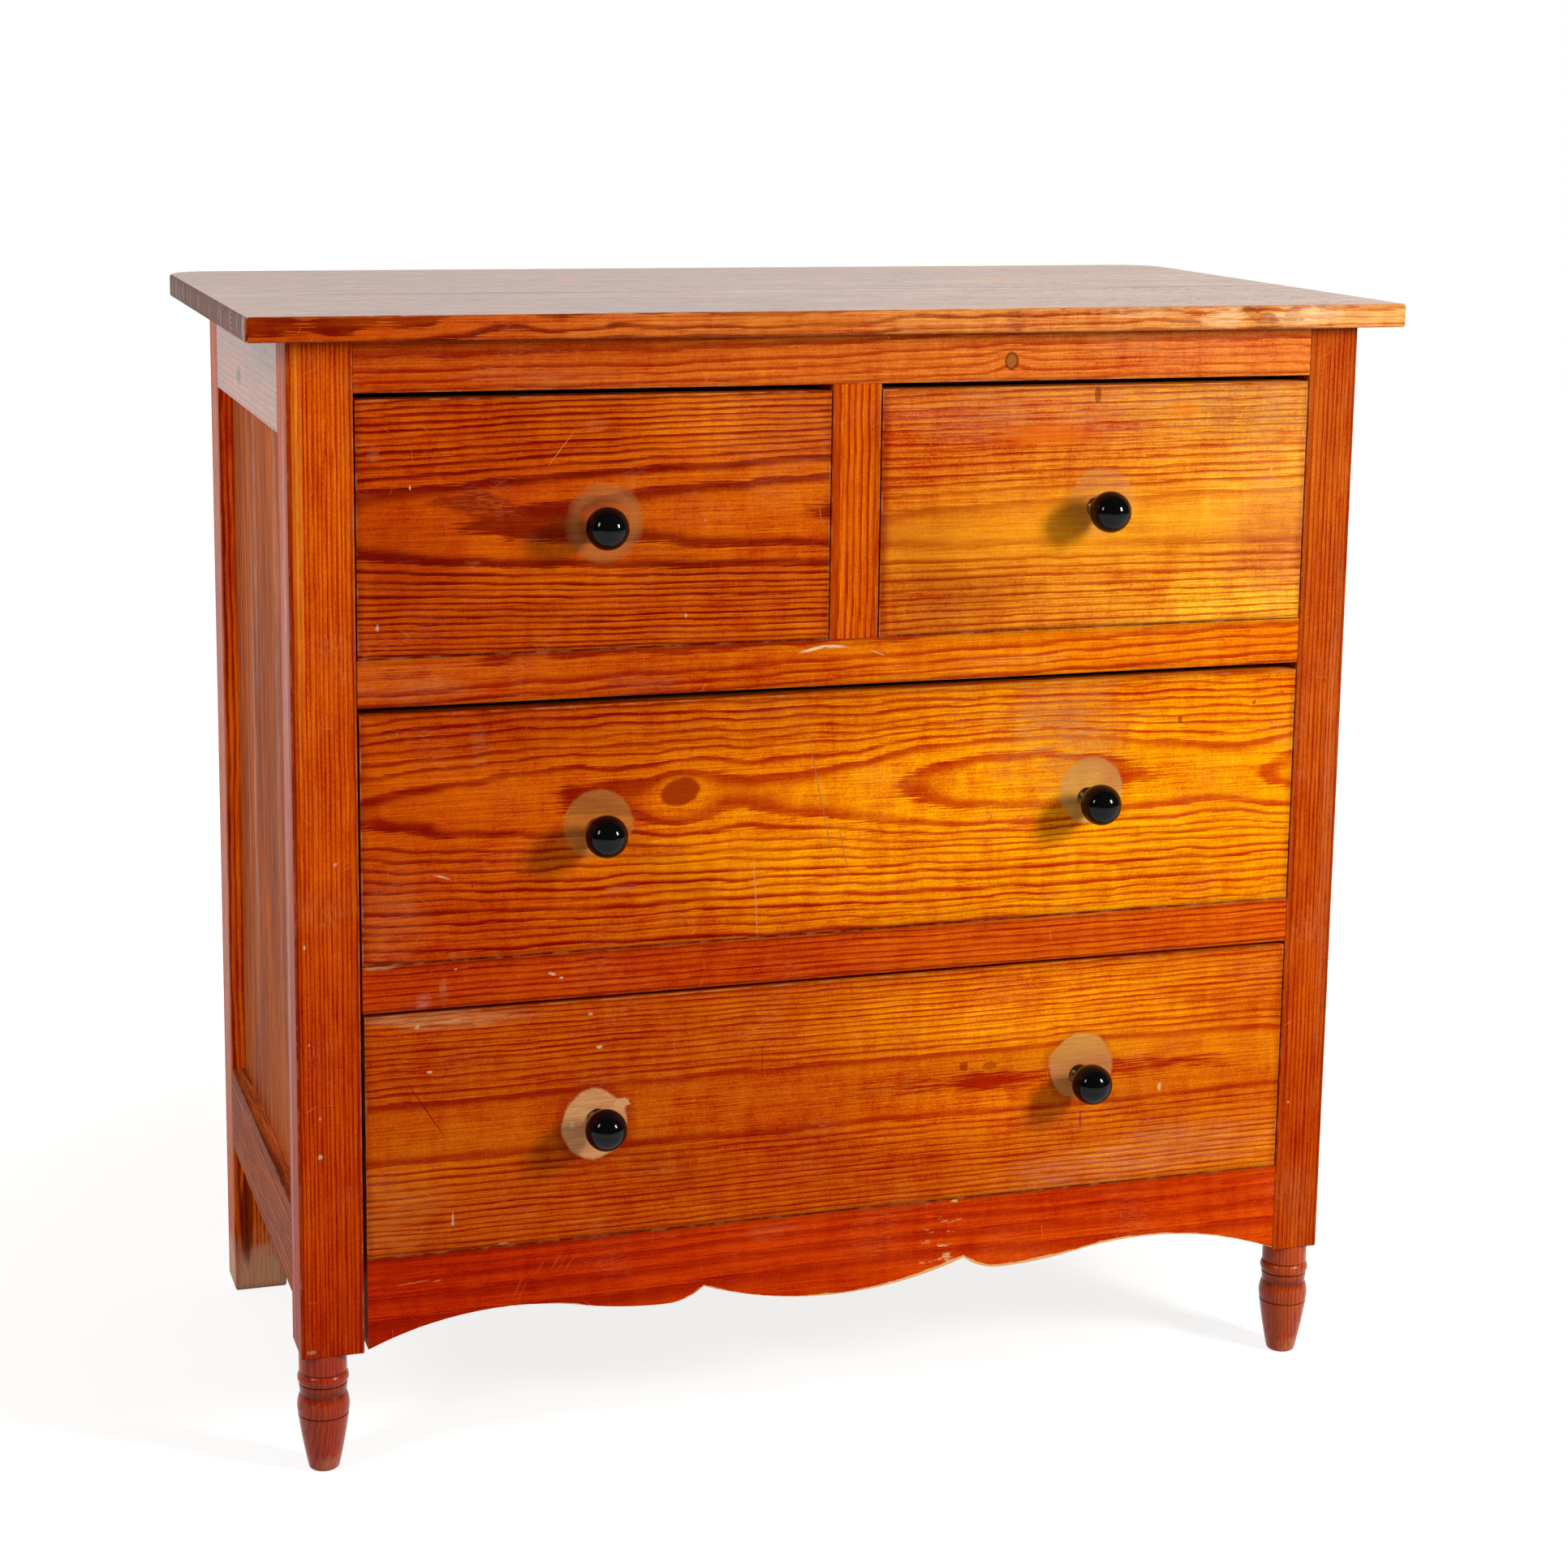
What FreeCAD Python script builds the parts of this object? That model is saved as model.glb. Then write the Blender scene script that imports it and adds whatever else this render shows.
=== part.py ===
import FreeCAD, Part
import os

# Pine chest of drawers, two small drawers over two wide ones. All sizes in millimetres.
# x runs to the right and z up. While building, y is 0 at the front of the case and grows to the back.

# Case
CASE_WIDTH = 920.0
CASE_DEPTH = 460.0
TOTAL_HEIGHT = 958.0
POST_DEPTH = 48.0
FRONT_POST_LEFT = 52.0
FRONT_POST_RIGHT = 44.0
REAR_POST = 48.0
POST_EASING = 1.2
LEG_CHAMFER = 2.0

# Top board
TOP_THICKNESS = 20.0
TOP_OVERHANG_SIDE = 33.5
TOP_OVERHANG_FRONT = 23.5
TOP_OVERHANG_BACK = 51.0
TOP_BACK_CORNER = 40.0
TOP_FRONT_CORNER = 4.0
TOP_EASING = 2.5

# Turned foot, from the square post down to the floor
FOOT_HEIGHT = 104.0
FOOT_INSET = 20.5
FOOT_NECK_LENGTH = 18.0
FOOT_BEAD_LENGTH = 10.0
FOOT_RING_LENGTH = 8.5
FOOT_BULB_LENGTH = 18.5
FOOT_NECK_DIA = 39.6
FOOT_BEAD_DIA = 42.6
FOOT_RING_DIA = 40.0
FOOT_WAIST_DIA = 38.2
FOOT_BULB_DIA = 43.2
FOOT_SHOULDER_DIA = 42.0
FOOT_TIP_DIA = 26.0
FOOT_TAPER_SWELL = 0.5
FOOT_TIP_ROUND = 3.0
FOOT_LINE_DEPTH = 0.9
FOOT_LINE_WIDTH = 1.4

# Front rails and the gaps over the drawers
TOP_RAIL_HEIGHT = 42.0
RAIL_HEIGHT = 39.0
RAIL_DEPTH = 40.0
GAP_OVER_SMALL = 5.5
GAP_OVER_MIDDLE = 6.5
GAP_OVER_BOTTOM = 3.5
TENON_LENGTH = 20.0
TENON_SHOULDER = 6.0
RAIL_TENON = 12.0

# The left joints have opened a little towards the floor
OPEN_JOINT_UPPER = 0.6
OPEN_JOINT_LOWER = 1.8
OPEN_JOINT_APRON = 3.0

# Scalloped apron: heights of its wood, and places of the curve's points from the centre
APRON_THICKNESS = 20.0
APRON_LIFT = 3.0
APRON_END = 77.5
APRON_ARCH = 53.0
APRON_LOBE = 66.5
APRON_CUSP = 54.5
APRON_MIDDLE = 75.0
APRON_ARCH_AT = 288.0
APRON_TURN_AT = 218.0
APRON_LOBE_AT = 150.0
APRON_CUSP_AT = 118.0

# Divider between the small drawers
DIVIDER_WIDTH = 42.0
DIVIDER_CENTRE = 6.5
STUB_LENGTH = 10.0

# Sides
SIDE_RAIL_THICKNESS = 30.0
SIDE_TOP_RAIL = 77.0
SIDE_BOTTOM_RAIL = 75.5
SIDE_BOTTOM_DROP = 39.5
PANEL_RECESS = 13.0
PANEL_THICKNESS = 9.0
PANEL_GROOVE = 8.0
PANEL_ROOM = 1.0

# Back
BACK_THICKNESS = 10.0
BACK_REBATE = 10.0
BACK_RAIL_THICKNESS = 22.0
BACK_TOP_RAIL = 60.0
BACK_RAIL = 45.0
BACK_BOTTOM_RAIL = 60.0

# Runners, kicker and stops
RUNNER_HEIGHT = 30.0
RUNNER_LEDGE = 16.0
GUIDE_HEIGHT = 20.0
KICKER_THICKNESS = 20.0
STOP_HEIGHT = 18.0
STOP_WIDTH = 12.0
STOP_DEPTH = 8.0

# Drawers
DRAWER_GAP = 1.3
RUN_CLEARANCE = 0.3
FRONT_THICKNESS = 20.0
FRONT_EASING = 0.8
SIDE_THICKNESS = 12.0
SIDE_DROP = 6.0
SIDE_LAP = 6.0
TAIL_COUNT = 4
TAIL_ROOT = 22.0
TAIL_FLARE = 4.0
BOTTOM_THICKNESS = 8.0
BOTTOM_RISE = 10.0
BOTTOM_GROOVE = 6.0
BACK_BOARD = 12.0
BACK_HOUSING = 5.0
BACK_INSET = 6.0
BACK_DROP = 4.0

# Knobs
BALL_DIA = 35.0
BALL_REACH = 29.0
NECK_BASE_DIA = 18.0
NECK_WAIST_DIA = 11.0
NECK_CUP_DIA = 14.0
NECK_FLANGE = 1.6
NECK_LENGTH = 13.2
SPIGOT_DIA = 8.0
SPIGOT_LENGTH = 12.0
STUD_DIA = 5.0
STUD_LENGTH = 16.0

# Two faces closer than this are one and the same
SAME = 0.001

# Fasteners
SCREW_DIA = 4.5
SCREW_HEAD_DIA = 9.0
SCREW_HEAD = 3.0
SCREW_LENGTH = 44.0
SCREW_BITE = 14.0
NAIL_DIA = 2.2
NAIL_HEAD_DIA = 5.0
NAIL_HEAD = 1.0
NAIL_LENGTH = 26.0

# Levels: three equal rows of drawers share the height between the apron and the top rail
under_top = TOTAL_HEIGHT - TOP_THICKNESS
top_rail_low = under_top - TOP_RAIL_HEIGHT
bottom_level = FOOT_HEIGHT + APRON_LIFT + APRON_END
gaps = GAP_OVER_SMALL + GAP_OVER_MIDDLE + GAP_OVER_BOTTOM
drawer_height = (top_rail_low - bottom_level - 2 * RAIL_HEIGHT - gaps) / 3
lower_rail_low = bottom_level + drawer_height + GAP_OVER_BOTTOM
middle_level = lower_rail_low + RAIL_HEIGHT
upper_rail_low = middle_level + drawer_height + GAP_OVER_MIDDLE
upper_level = upper_rail_low + RAIL_HEIGHT
side_top_low = under_top - SIDE_TOP_RAIL
side_bottom_low = bottom_level - SIDE_BOTTOM_DROP
side_bottom_top = side_bottom_low + SIDE_BOTTOM_RAIL

# Places across and along the case
LEFT = -1
RIGHT = 1
outer = CASE_WIDTH / 2
inner_front = {LEFT: outer - FRONT_POST_LEFT, RIGHT: outer - FRONT_POST_RIGHT}
inner_rear = outer - REAR_POST
rail_inner = outer - SIDE_RAIL_THICKNESS
panel_outer = outer - PANEL_RECESS
panel_inner = panel_outer - PANEL_THICKNESS
rear_front = CASE_DEPTH - POST_DEPTH
back_inner = CASE_DEPTH - BACK_THICKNESS
back_rail_front = back_inner - BACK_RAIL_THICKNESS
divider_left = DIVIDER_CENTRE - DIVIDER_WIDTH / 2
divider_right = DIVIDER_CENTRE + DIVIDER_WIDTH / 2
tenon_front = (RAIL_DEPTH - RAIL_TENON) / 2
tenon_back = tenon_front + RAIL_TENON
side_end = rear_front - STOP_DEPTH - RUN_CLEARANCE
drawer_back_rear = side_end - BACK_INSET
drawer_back_front = drawer_back_rear - BACK_BOARD
knob_at = {
    LEFT: (divider_left - inner_front[LEFT]) / 2,
    RIGHT: (divider_right + inner_front[RIGHT]) / 2,
}

# The origin is under the middle of the whole chest, knobs and top included
front_most = -BALL_REACH - BALL_DIA / 2
rear_most = CASE_DEPTH + TOP_OVERHANG_BACK
TO_ORIGIN = FreeCAD.Vector(0, -(front_most + rear_most) / 2, 0)

os.makedirs("parts", exist_ok=True)


def write(node, shape):
    moved = shape.copy()
    moved.translate(TO_ORIGIN)
    moved.exportStep("parts/" + node + ".step")


def vec(x, y, z):
    return FreeCAD.Vector(x, y, z)


def box(x0, x1, y0, y1, z0, z1):
    return Part.makeBox(x1 - x0, y1 - y0, z1 - z0, vec(x0, y0, z0))


def side_box(side, a, b, y0, y1, z0, z1):
    x0, x1 = sorted((side * a, side * b))
    return box(x0, x1, y0, y1, z0, z1)


def join(pieces):
    return pieces[0].multiFuse(pieces[1:]).removeSplitter()


def upright_edges(shape):
    return [e for e in shape.Edges if abs(e.tangentAt(e.FirstParameter).z) > 0.9]


def level_edges(shape, z):
    return [e for e in shape.Edges if abs(e.BoundBox.ZMin - z) < SAME and abs(e.BoundBox.ZMax - z) < SAME]


def arc(a, b, c):
    return Part.Arc(a, b, c).toShape()


def line(a, b):
    return Part.LineSegment(a, b).toShape()


# Top board, with rounded back corners and eased edges
def make_top():
    half = outer + TOP_OVERHANG_SIDE
    front = -TOP_OVERHANG_FRONT
    board = box(-half, half, front, rear_most, under_top, TOTAL_HEIGHT)
    back_corners = [e for e in upright_edges(board) if e.BoundBox.YMin > 0]
    board = board.makeFillet(TOP_BACK_CORNER, back_corners)
    front_corners = [e for e in upright_edges(board) if e.BoundBox.YMax < front + SAME]
    board = board.makeFillet(TOP_FRONT_CORNER, front_corners)
    edges = level_edges(board, under_top) + level_edges(board, TOTAL_HEIGHT)
    return board.makeFillet(TOP_EASING, edges)


# A rail across the front, tenoned into both posts
def make_front_rail(low, high, opening):
    left = -inner_front[LEFT]
    right = inner_front[RIGHT]
    body = box(left + opening, right, 0, RAIL_DEPTH, low, high)
    tenon_low = low + TENON_SHOULDER
    tenon_high = high - TENON_SHOULDER
    left_tenon = box(left - TENON_LENGTH, left + opening, tenon_front, tenon_back, tenon_low, tenon_high)
    right_tenon = box(right, right + TENON_LENGTH, tenon_front, tenon_back, tenon_low, tenon_high)
    return join([body, left_tenon, right_tenon])


# The scalloped lower edge of the apron, from left to right
def scallop():
    left = -inner_front[LEFT] + OPEN_JOINT_APRON
    right = inner_front[RIGHT]
    end_low = bottom_level - APRON_END
    arch = bottom_level - APRON_ARCH
    lobe = bottom_level - APRON_LOBE
    cusp = bottom_level - APRON_CUSP
    middle = bottom_level - APRON_MIDDLE
    turn = arch - (arch - lobe) * 0.55
    flank = (APRON_TURN_AT + APRON_LOBE_AT) / 2
    flank_low = lobe + (turn - lobe) * 0.25
    nose = (APRON_LOBE_AT + APRON_CUSP_AT) / 2
    nose_low = lobe + (cusp - lobe) * 0.25

    def at(x, z):
        return vec(x, 0, z)

    half = []
    for side, end in ((LEFT, left), (RIGHT, right)):
        half.append([
            arc(at(end, end_low), at(side * APRON_ARCH_AT, arch), at(side * APRON_TURN_AT, turn)),
            arc(at(side * APRON_TURN_AT, turn), at(side * flank, flank_low), at(side * APRON_LOBE_AT, lobe)),
            arc(at(side * APRON_LOBE_AT, lobe), at(side * nose, nose_low), at(side * APRON_CUSP_AT, cusp)),
        ])
    centre = arc(at(-APRON_CUSP_AT, cusp), at(0, middle), at(APRON_CUSP_AT, cusp))
    frame = [
        line(at(left, end_low), at(left, bottom_level)),
        line(at(left, bottom_level), at(right, bottom_level)),
        line(at(right, bottom_level), at(right, end_low)),
    ]
    edges = half[0] + [centre] + half[1] + frame
    return Part.Face(Part.Wire(Part.__sortEdges__(edges)))


def make_apron():
    left = -inner_front[LEFT]
    right = inner_front[RIGHT]
    body = scallop().extrude(vec(0, APRON_THICKNESS, 0))
    t0 = APRON_THICKNESS / 4
    t1 = APRON_THICKNESS * 3 / 4
    low = bottom_level - APRON_ARCH + TENON_SHOULDER
    high = bottom_level - TENON_SHOULDER
    left_tenon = box(left - TENON_LENGTH, left + OPEN_JOINT_APRON, t0, t1, low, high)
    right_tenon = box(right, right + TENON_LENGTH, t0, t1, low, high)
    return join([body, left_tenon, right_tenon])


# Upright between the small drawers, with stub tenons into the rails above and below
def make_divider():
    body = box(divider_left, divider_right, 0, RAIL_DEPTH, upper_level, top_rail_low)
    x0 = divider_left + TENON_SHOULDER
    x1 = divider_right - TENON_SHOULDER
    foot = box(x0, x1, tenon_front, tenon_back, upper_level - STUB_LENGTH, upper_level)
    head = box(x0, x1, tenon_front, tenon_back, top_rail_low, top_rail_low + STUB_LENGTH)
    return join([body, foot, head])


# Side rails, tenoned into the posts and grooved for the panel
def make_side_rail(side, low, high, groove_low, groove_high):
    body = side_box(side, rail_inner, outer, POST_DEPTH, rear_front, low, high)
    t_low = low + PANEL_GROOVE + TENON_SHOULDER
    t_high = high - PANEL_GROOVE - TENON_SHOULDER
    front = side_box(side, panel_inner, panel_outer, POST_DEPTH - TENON_LENGTH, POST_DEPTH, t_low, t_high)
    rear = side_box(side, panel_inner, panel_outer, rear_front, rear_front + TENON_LENGTH, t_low, t_high)
    groove = side_box(side, panel_inner, panel_outer, POST_DEPTH, rear_front, groove_low, groove_high)
    return join([body, front, rear]).cut(groove)


def make_side_panel(side):
    tongue = PANEL_GROOVE - PANEL_ROOM
    return side_box(
        side, panel_inner, panel_outer, POST_DEPTH - tongue, rear_front + tongue,
        side_bottom_top - tongue, side_top_low + tongue)


def post_groove(side, y0, y1):
    return side_box(
        side, panel_inner, panel_outer, y0, y1, side_bottom_top - PANEL_GROOVE, side_top_low + PANEL_GROOVE)


# Foot turned on the lower end of the front post
def turned_foot(x, y):
    z_neck = FOOT_HEIGHT - FOOT_NECK_LENGTH
    z_bead = z_neck - FOOT_BEAD_LENGTH
    z_ring = z_bead - FOOT_RING_LENGTH
    z_bulb = z_ring - FOOT_BULB_LENGTH
    neck = FOOT_NECK_DIA / 2
    bead = FOOT_BEAD_DIA / 2
    ring = FOOT_RING_DIA / 2
    waist = FOOT_WAIST_DIA / 2
    bulb = FOOT_BULB_DIA / 2
    shoulder = FOOT_SHOULDER_DIA / 2
    tip = FOOT_TIP_DIA / 2
    half_line = FOOT_LINE_WIDTH / 2
    taper_top = z_bulb - half_line
    bead_mid = (z_neck + z_bead) / 2
    ring_mid = (z_bead + z_ring) / 2
    ring_swell = (ring * 2 + waist) / 3
    taper_mid = (taper_top + FOOT_TIP_ROUND) / 2
    slope_mid = (shoulder + tip) / 2 + FOOT_TAPER_SWELL
    tip_corner = FOOT_TIP_ROUND * 0.3

    def at(r, z):
        return vec(x + r, y, z)

    edges = [
        line(at(0, FOOT_HEIGHT), at(neck, FOOT_HEIGHT)),
        line(at(neck, FOOT_HEIGHT), at(neck, z_neck + half_line)),
        line(at(neck, z_neck + half_line), at(neck - FOOT_LINE_DEPTH, z_neck)),
        arc(at(neck - FOOT_LINE_DEPTH, z_neck), at(bead, bead_mid), at(ring, z_bead + half_line)),
        line(at(ring, z_bead + half_line), at(ring - FOOT_LINE_DEPTH, z_bead)),
        line(at(ring - FOOT_LINE_DEPTH, z_bead), at(ring, z_bead - half_line)),
        arc(at(ring, z_bead - half_line), at(ring_swell, ring_mid), at(waist, z_ring)),
        arc(at(waist, z_ring), at(bulb, (z_ring + z_bulb) / 2), at(shoulder, z_bulb + half_line)),
        line(at(shoulder, z_bulb + half_line), at(shoulder - FOOT_LINE_DEPTH, z_bulb)),
        line(at(shoulder - FOOT_LINE_DEPTH, z_bulb), at(shoulder, taper_top)),
        arc(at(shoulder, taper_top), at(slope_mid, taper_mid), at(tip, FOOT_TIP_ROUND)),
        arc(at(tip, FOOT_TIP_ROUND), at(tip - tip_corner, tip_corner), at(tip - FOOT_TIP_ROUND, 0)),
        line(at(tip - FOOT_TIP_ROUND, 0), at(0, 0)),
        line(at(0, 0), at(0, FOOT_HEIGHT)),
    ]
    face = Part.Face(Part.Wire(Part.__sortEdges__(edges)))
    return face.revolve(vec(x, y, 0), vec(0, 0, 1), 360)


def make_front_post(side, entering):
    body = side_box(side, inner_front[side], outer, 0, POST_DEPTH, FOOT_HEIGHT, under_top)
    body = body.makeFillet(POST_EASING, upright_edges(body))
    post = body.fuse(turned_foot(side * (outer - FOOT_INSET), FOOT_INSET)).removeSplitter()
    post = post.cut(post_groove(side, POST_DEPTH - PANEL_GROOVE, POST_DEPTH))
    return post.cut(entering)


def make_rear_post(side, entering):
    body = side_box(side, inner_rear, outer, rear_front, CASE_DEPTH, 0, under_top)
    body = body.makeFillet(POST_EASING, upright_edges(body))
    body = body.makeChamfer(LEG_CHAMFER, level_edges(body, 0))
    body = body.cut(post_groove(side, rear_front, rear_front + PANEL_GROOVE))
    return body.cut(entering)


# Rails across the back, tenoned into the rear posts
def make_back_rail(low, high):
    body = box(-inner_rear, inner_rear, back_rail_front, back_inner, low, high)
    t0 = back_rail_front + TENON_SHOULDER
    t1 = back_inner - TENON_SHOULDER
    low = low + TENON_SHOULDER
    high = high - TENON_SHOULDER
    tenons = [side_box(s, inner_rear, inner_rear + TENON_LENGTH, t0, t1, low, high) for s in (LEFT, RIGHT)]
    return join([body] + tenons)


def make_back_panel():
    half = inner_rear + BACK_REBATE
    return box(-half, half, back_inner, CASE_DEPTH, side_bottom_low, under_top)


# Side runners carry the drawers, and their lips guide them in line with the front posts
def make_runner(side, level):
    guide = inner_front[side]
    low = level - RUNNER_HEIGHT
    bearing = side_box(side, guide - RUNNER_LEDGE, rail_inner, POST_DEPTH, rear_front, low, level)
    lip = side_box(side, guide, rail_inner, POST_DEPTH, rear_front, level, level + GUIDE_HEIGHT)
    t_low = low + TENON_SHOULDER
    t_high = level - TENON_SHOULDER
    t_in = max(guide, inner_rear) + TENON_SHOULDER / 3
    t_out = rail_inner - TENON_SHOULDER / 3
    front = side_box(side, t_in, t_out, POST_DEPTH - STUB_LENGTH, POST_DEPTH, t_low, t_high)
    rear = side_box(side, t_in, t_out, rear_front, rear_front + STUB_LENGTH, t_low, t_high)
    return join([bearing, lip, front, rear])


# Runner behind the divider, with a rib that guides both small drawers
def make_centre_runner():
    x0 = divider_left - RUNNER_LEDGE
    x1 = divider_right + RUNNER_LEDGE
    low = upper_level - RUNNER_HEIGHT
    bearing = box(x0, x1, RAIL_DEPTH, back_rail_front, low, upper_level)
    rib_top = upper_level + GUIDE_HEIGHT
    rib = box(divider_left, divider_right, RAIL_DEPTH, back_rail_front, upper_level, rib_top)
    t_low = low + TENON_SHOULDER
    t_high = upper_level - TENON_SHOULDER
    front = box(divider_left, divider_right, RAIL_DEPTH - STUB_LENGTH, RAIL_DEPTH, t_low, t_high)
    rear = box(divider_left, divider_right, back_rail_front, back_rail_front + STUB_LENGTH, t_low, t_high)
    return join([bearing, rib, front, rear])


# Strip over the middle of the small drawers, which keeps them from tipping
def make_kicker():
    x0 = divider_left - RUNNER_LEDGE
    x1 = divider_right + RUNNER_LEDGE
    high = top_rail_low + KICKER_THICKNESS
    strip = box(x0, x1, RAIL_DEPTH, back_rail_front, top_rail_low, high)
    t_low = top_rail_low + TENON_SHOULDER
    t_high = high - TENON_SHOULDER
    front = box(divider_left, divider_right, RAIL_DEPTH - STUB_LENGTH, RAIL_DEPTH, t_low, t_high)
    rear = box(divider_left, divider_right, back_rail_front, back_rail_front + STUB_LENGTH, t_low, t_high)
    return join([strip, front, rear])


# A small block at the back end of each bearing stops the drawer flush with the posts
def make_stops():
    low_edges = []
    for level in (upper_level, middle_level, bottom_level):
        low_edges.append((-inner_front[LEFT], level))
        low_edges.append((inner_front[RIGHT] - STOP_WIDTH, level))
    low_edges.append((divider_left - STOP_WIDTH, upper_level))
    low_edges.append((divider_right, upper_level))
    y = rear_front - STOP_DEPTH
    return [box(x, x + STOP_WIDTH, y, rear_front, z, z + STOP_HEIGHT) for x, z in low_edges]


# Screws that hold the top, driven up through the front and back top rails
def make_screws():
    tip = under_top + SCREW_BITE
    head_top = tip - SCREW_LENGTH
    sink_length = max(TOP_RAIL_HEIGHT, BACK_TOP_RAIL)
    sink_low = head_top - sink_length
    screws = []
    sinks = []
    for y in (tenon_back + SCREW_HEAD_DIA / 2, (back_rail_front + back_inner) / 2):
        for part in (-0.38, -0.16, 0.16, 0.38):
            x = part * CASE_WIDTH
            shank = Part.makeCylinder(SCREW_DIA / 2, SCREW_LENGTH, vec(x, y, head_top))
            head = Part.makeCylinder(SCREW_HEAD_DIA / 2, SCREW_HEAD, vec(x, y, head_top - SCREW_HEAD))
            screws.append(shank.fuse(head).removeSplitter())
            sinks.append(Part.makeCylinder(SCREW_HEAD_DIA / 2, sink_length, vec(x, y, sink_low)))
    return screws, sinks


# Nails through the back panel into the back rails
def make_nails(heights):
    nails = []
    away = vec(0, -1, 0)
    for z in heights:
        for part in (-0.42, -0.25, -0.09, 0.09, 0.25, 0.42):
            x = part * CASE_WIDTH
            shank = Part.makeCylinder(NAIL_DIA / 2, NAIL_LENGTH, vec(x, CASE_DEPTH, z), away)
            head = Part.makeCylinder(NAIL_HEAD_DIA / 2, NAIL_HEAD, vec(x, CASE_DEPTH, z), away)
            nails.append(shank.fuse(head).removeSplitter())
    return nails


# Metal neck of a knob: stud in the drawer front, flange, waist, cup and the spigot inside the ball
def make_neck(x, z):
    waist_at = (NECK_FLANGE + NECK_LENGTH) * 0.55
    base = NECK_BASE_DIA / 2
    waist = NECK_WAIST_DIA / 2
    cup = NECK_CUP_DIA / 2

    def at(r, out):
        return vec(x + r, -out, z)

    tip = NECK_LENGTH + SPIGOT_LENGTH
    edges = [
        line(at(0, -STUD_LENGTH), at(STUD_DIA / 2, -STUD_LENGTH)),
        line(at(STUD_DIA / 2, -STUD_LENGTH), at(STUD_DIA / 2, 0)),
        line(at(STUD_DIA / 2, 0), at(base, 0)),
        line(at(base, 0), at(base, NECK_FLANGE)),
        arc(at(base, NECK_FLANGE), at(waist, waist_at), at(cup, NECK_LENGTH)),
        line(at(cup, NECK_LENGTH), at(SPIGOT_DIA / 2, NECK_LENGTH)),
        line(at(SPIGOT_DIA / 2, NECK_LENGTH), at(SPIGOT_DIA / 2, tip)),
        line(at(SPIGOT_DIA / 2, tip), at(0, tip)),
        line(at(0, tip), at(0, -STUD_LENGTH)),
    ]
    face = Part.Face(Part.Wire(Part.__sortEdges__(edges)))
    return face.revolve(vec(x, 0, z), vec(0, 1, 0), 360)


# Black ball, flattened where it sits on the neck
def make_ball(x, z, neck):
    ball = Part.makeSphere(BALL_DIA / 2, vec(x, -BALL_REACH, z))
    behind = box(x - BALL_DIA, x + BALL_DIA, -NECK_LENGTH, BALL_DIA, z - BALL_DIA, z + BALL_DIA)
    return ball.cut(behind).cut(neck)


# Drawer side with tails that lap into the front
def make_drawer_side(x0, low):
    height = drawer_height - SIDE_DROP
    pieces = [box(x0, x0 + SIDE_THICKNESS, FRONT_THICKNESS, side_end, low, low + height)]
    pitch = height / TAIL_COUNT
    for i in range(TAIL_COUNT):
        mid = low + pitch * (i + 0.5)
        root = TAIL_ROOT / 2
        end = root + TAIL_FLARE
        corners = [
            vec(x0, FRONT_THICKNESS, mid - root),
            vec(x0, FRONT_THICKNESS, mid + root),
            vec(x0, SIDE_LAP, mid + end),
            vec(x0, SIDE_LAP, mid - end),
            vec(x0, FRONT_THICKNESS, mid - root),
        ]
        pieces.append(Part.Face(Part.makePolygon(corners)).extrude(vec(SIDE_THICKNESS, 0, 0)))
    return join(pieces)


def make_drawer(name, x0, x1, level, knobs):
    low = level + RUN_CLEARANCE
    floor_low = low + BOTTOM_RISE
    floor_high = floor_low + BOTTOM_THICKNESS
    side_high = low + drawer_height - SIDE_DROP
    front = box(x0, x1, 0, FRONT_THICKNESS, low, low + drawer_height)
    front = front.makeFillet(FRONT_EASING, [e for e in front.Edges if e.BoundBox.YMax < FRONT_EASING])
    left = make_drawer_side(x0, low)
    right = make_drawer_side(x1 - SIDE_THICKNESS, low)
    in_side = SIDE_THICKNESS - BOTTOM_GROOVE
    front_groove = FRONT_THICKNESS - BOTTOM_GROOVE
    bottom = box(x0 + in_side, x1 - in_side, front_groove, drawer_back_rear, floor_low, floor_high)
    in_back = SIDE_THICKNESS - BACK_HOUSING
    back_high = side_high - BACK_DROP
    back = box(x0 + in_back, x1 - in_back, drawer_back_front, drawer_back_rear, floor_high, back_high)
    middle = low + drawer_height / 2
    necks = [make_neck(knob_at[side], middle) for side in knobs]
    balls = [make_ball(knob_at[side], middle, neck) for side, neck in zip(knobs, necks)]
    write(name + "_drawer_front", front.cut([left, right, bottom] + necks))
    write(name + "_drawer_left_side", left.cut([bottom, back]))
    write(name + "_drawer_right_side", right.cut([bottom, back]))
    write(name + "_drawer_back", back)
    write(name + "_drawer_bottom", bottom)
    write(name + "_knob_ball", Part.makeCompound(balls))
    write(name + "_knob_neck", Part.makeCompound(necks))


# Case
top_board = make_top()
screws, sinks = make_screws()
divider = make_divider()
kicker = make_kicker()
centre_runner = make_centre_runner()
top_rail = make_front_rail(top_rail_low, under_top, 0)
upper_rail = make_front_rail(upper_rail_low, upper_level, OPEN_JOINT_UPPER)
lower_rail = make_front_rail(lower_rail_low, middle_level, OPEN_JOINT_LOWER)
apron = make_apron()
back_top = make_back_rail(under_top - BACK_TOP_RAIL, under_top)
back_upper = make_back_rail(upper_level - BACK_RAIL, upper_level)
back_bottom = make_back_rail(side_bottom_low, side_bottom_low + BACK_BOTTOM_RAIL)
back_panel = make_back_panel()
nails = make_nails([
    under_top - BACK_TOP_RAIL / 2,
    upper_level - BACK_RAIL / 2,
    side_bottom_low + BACK_BOTTOM_RAIL / 2,
])
back_rails = [back_top, back_upper, back_bottom]
front_rails = [top_rail, upper_rail, lower_rail, apron]
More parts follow.
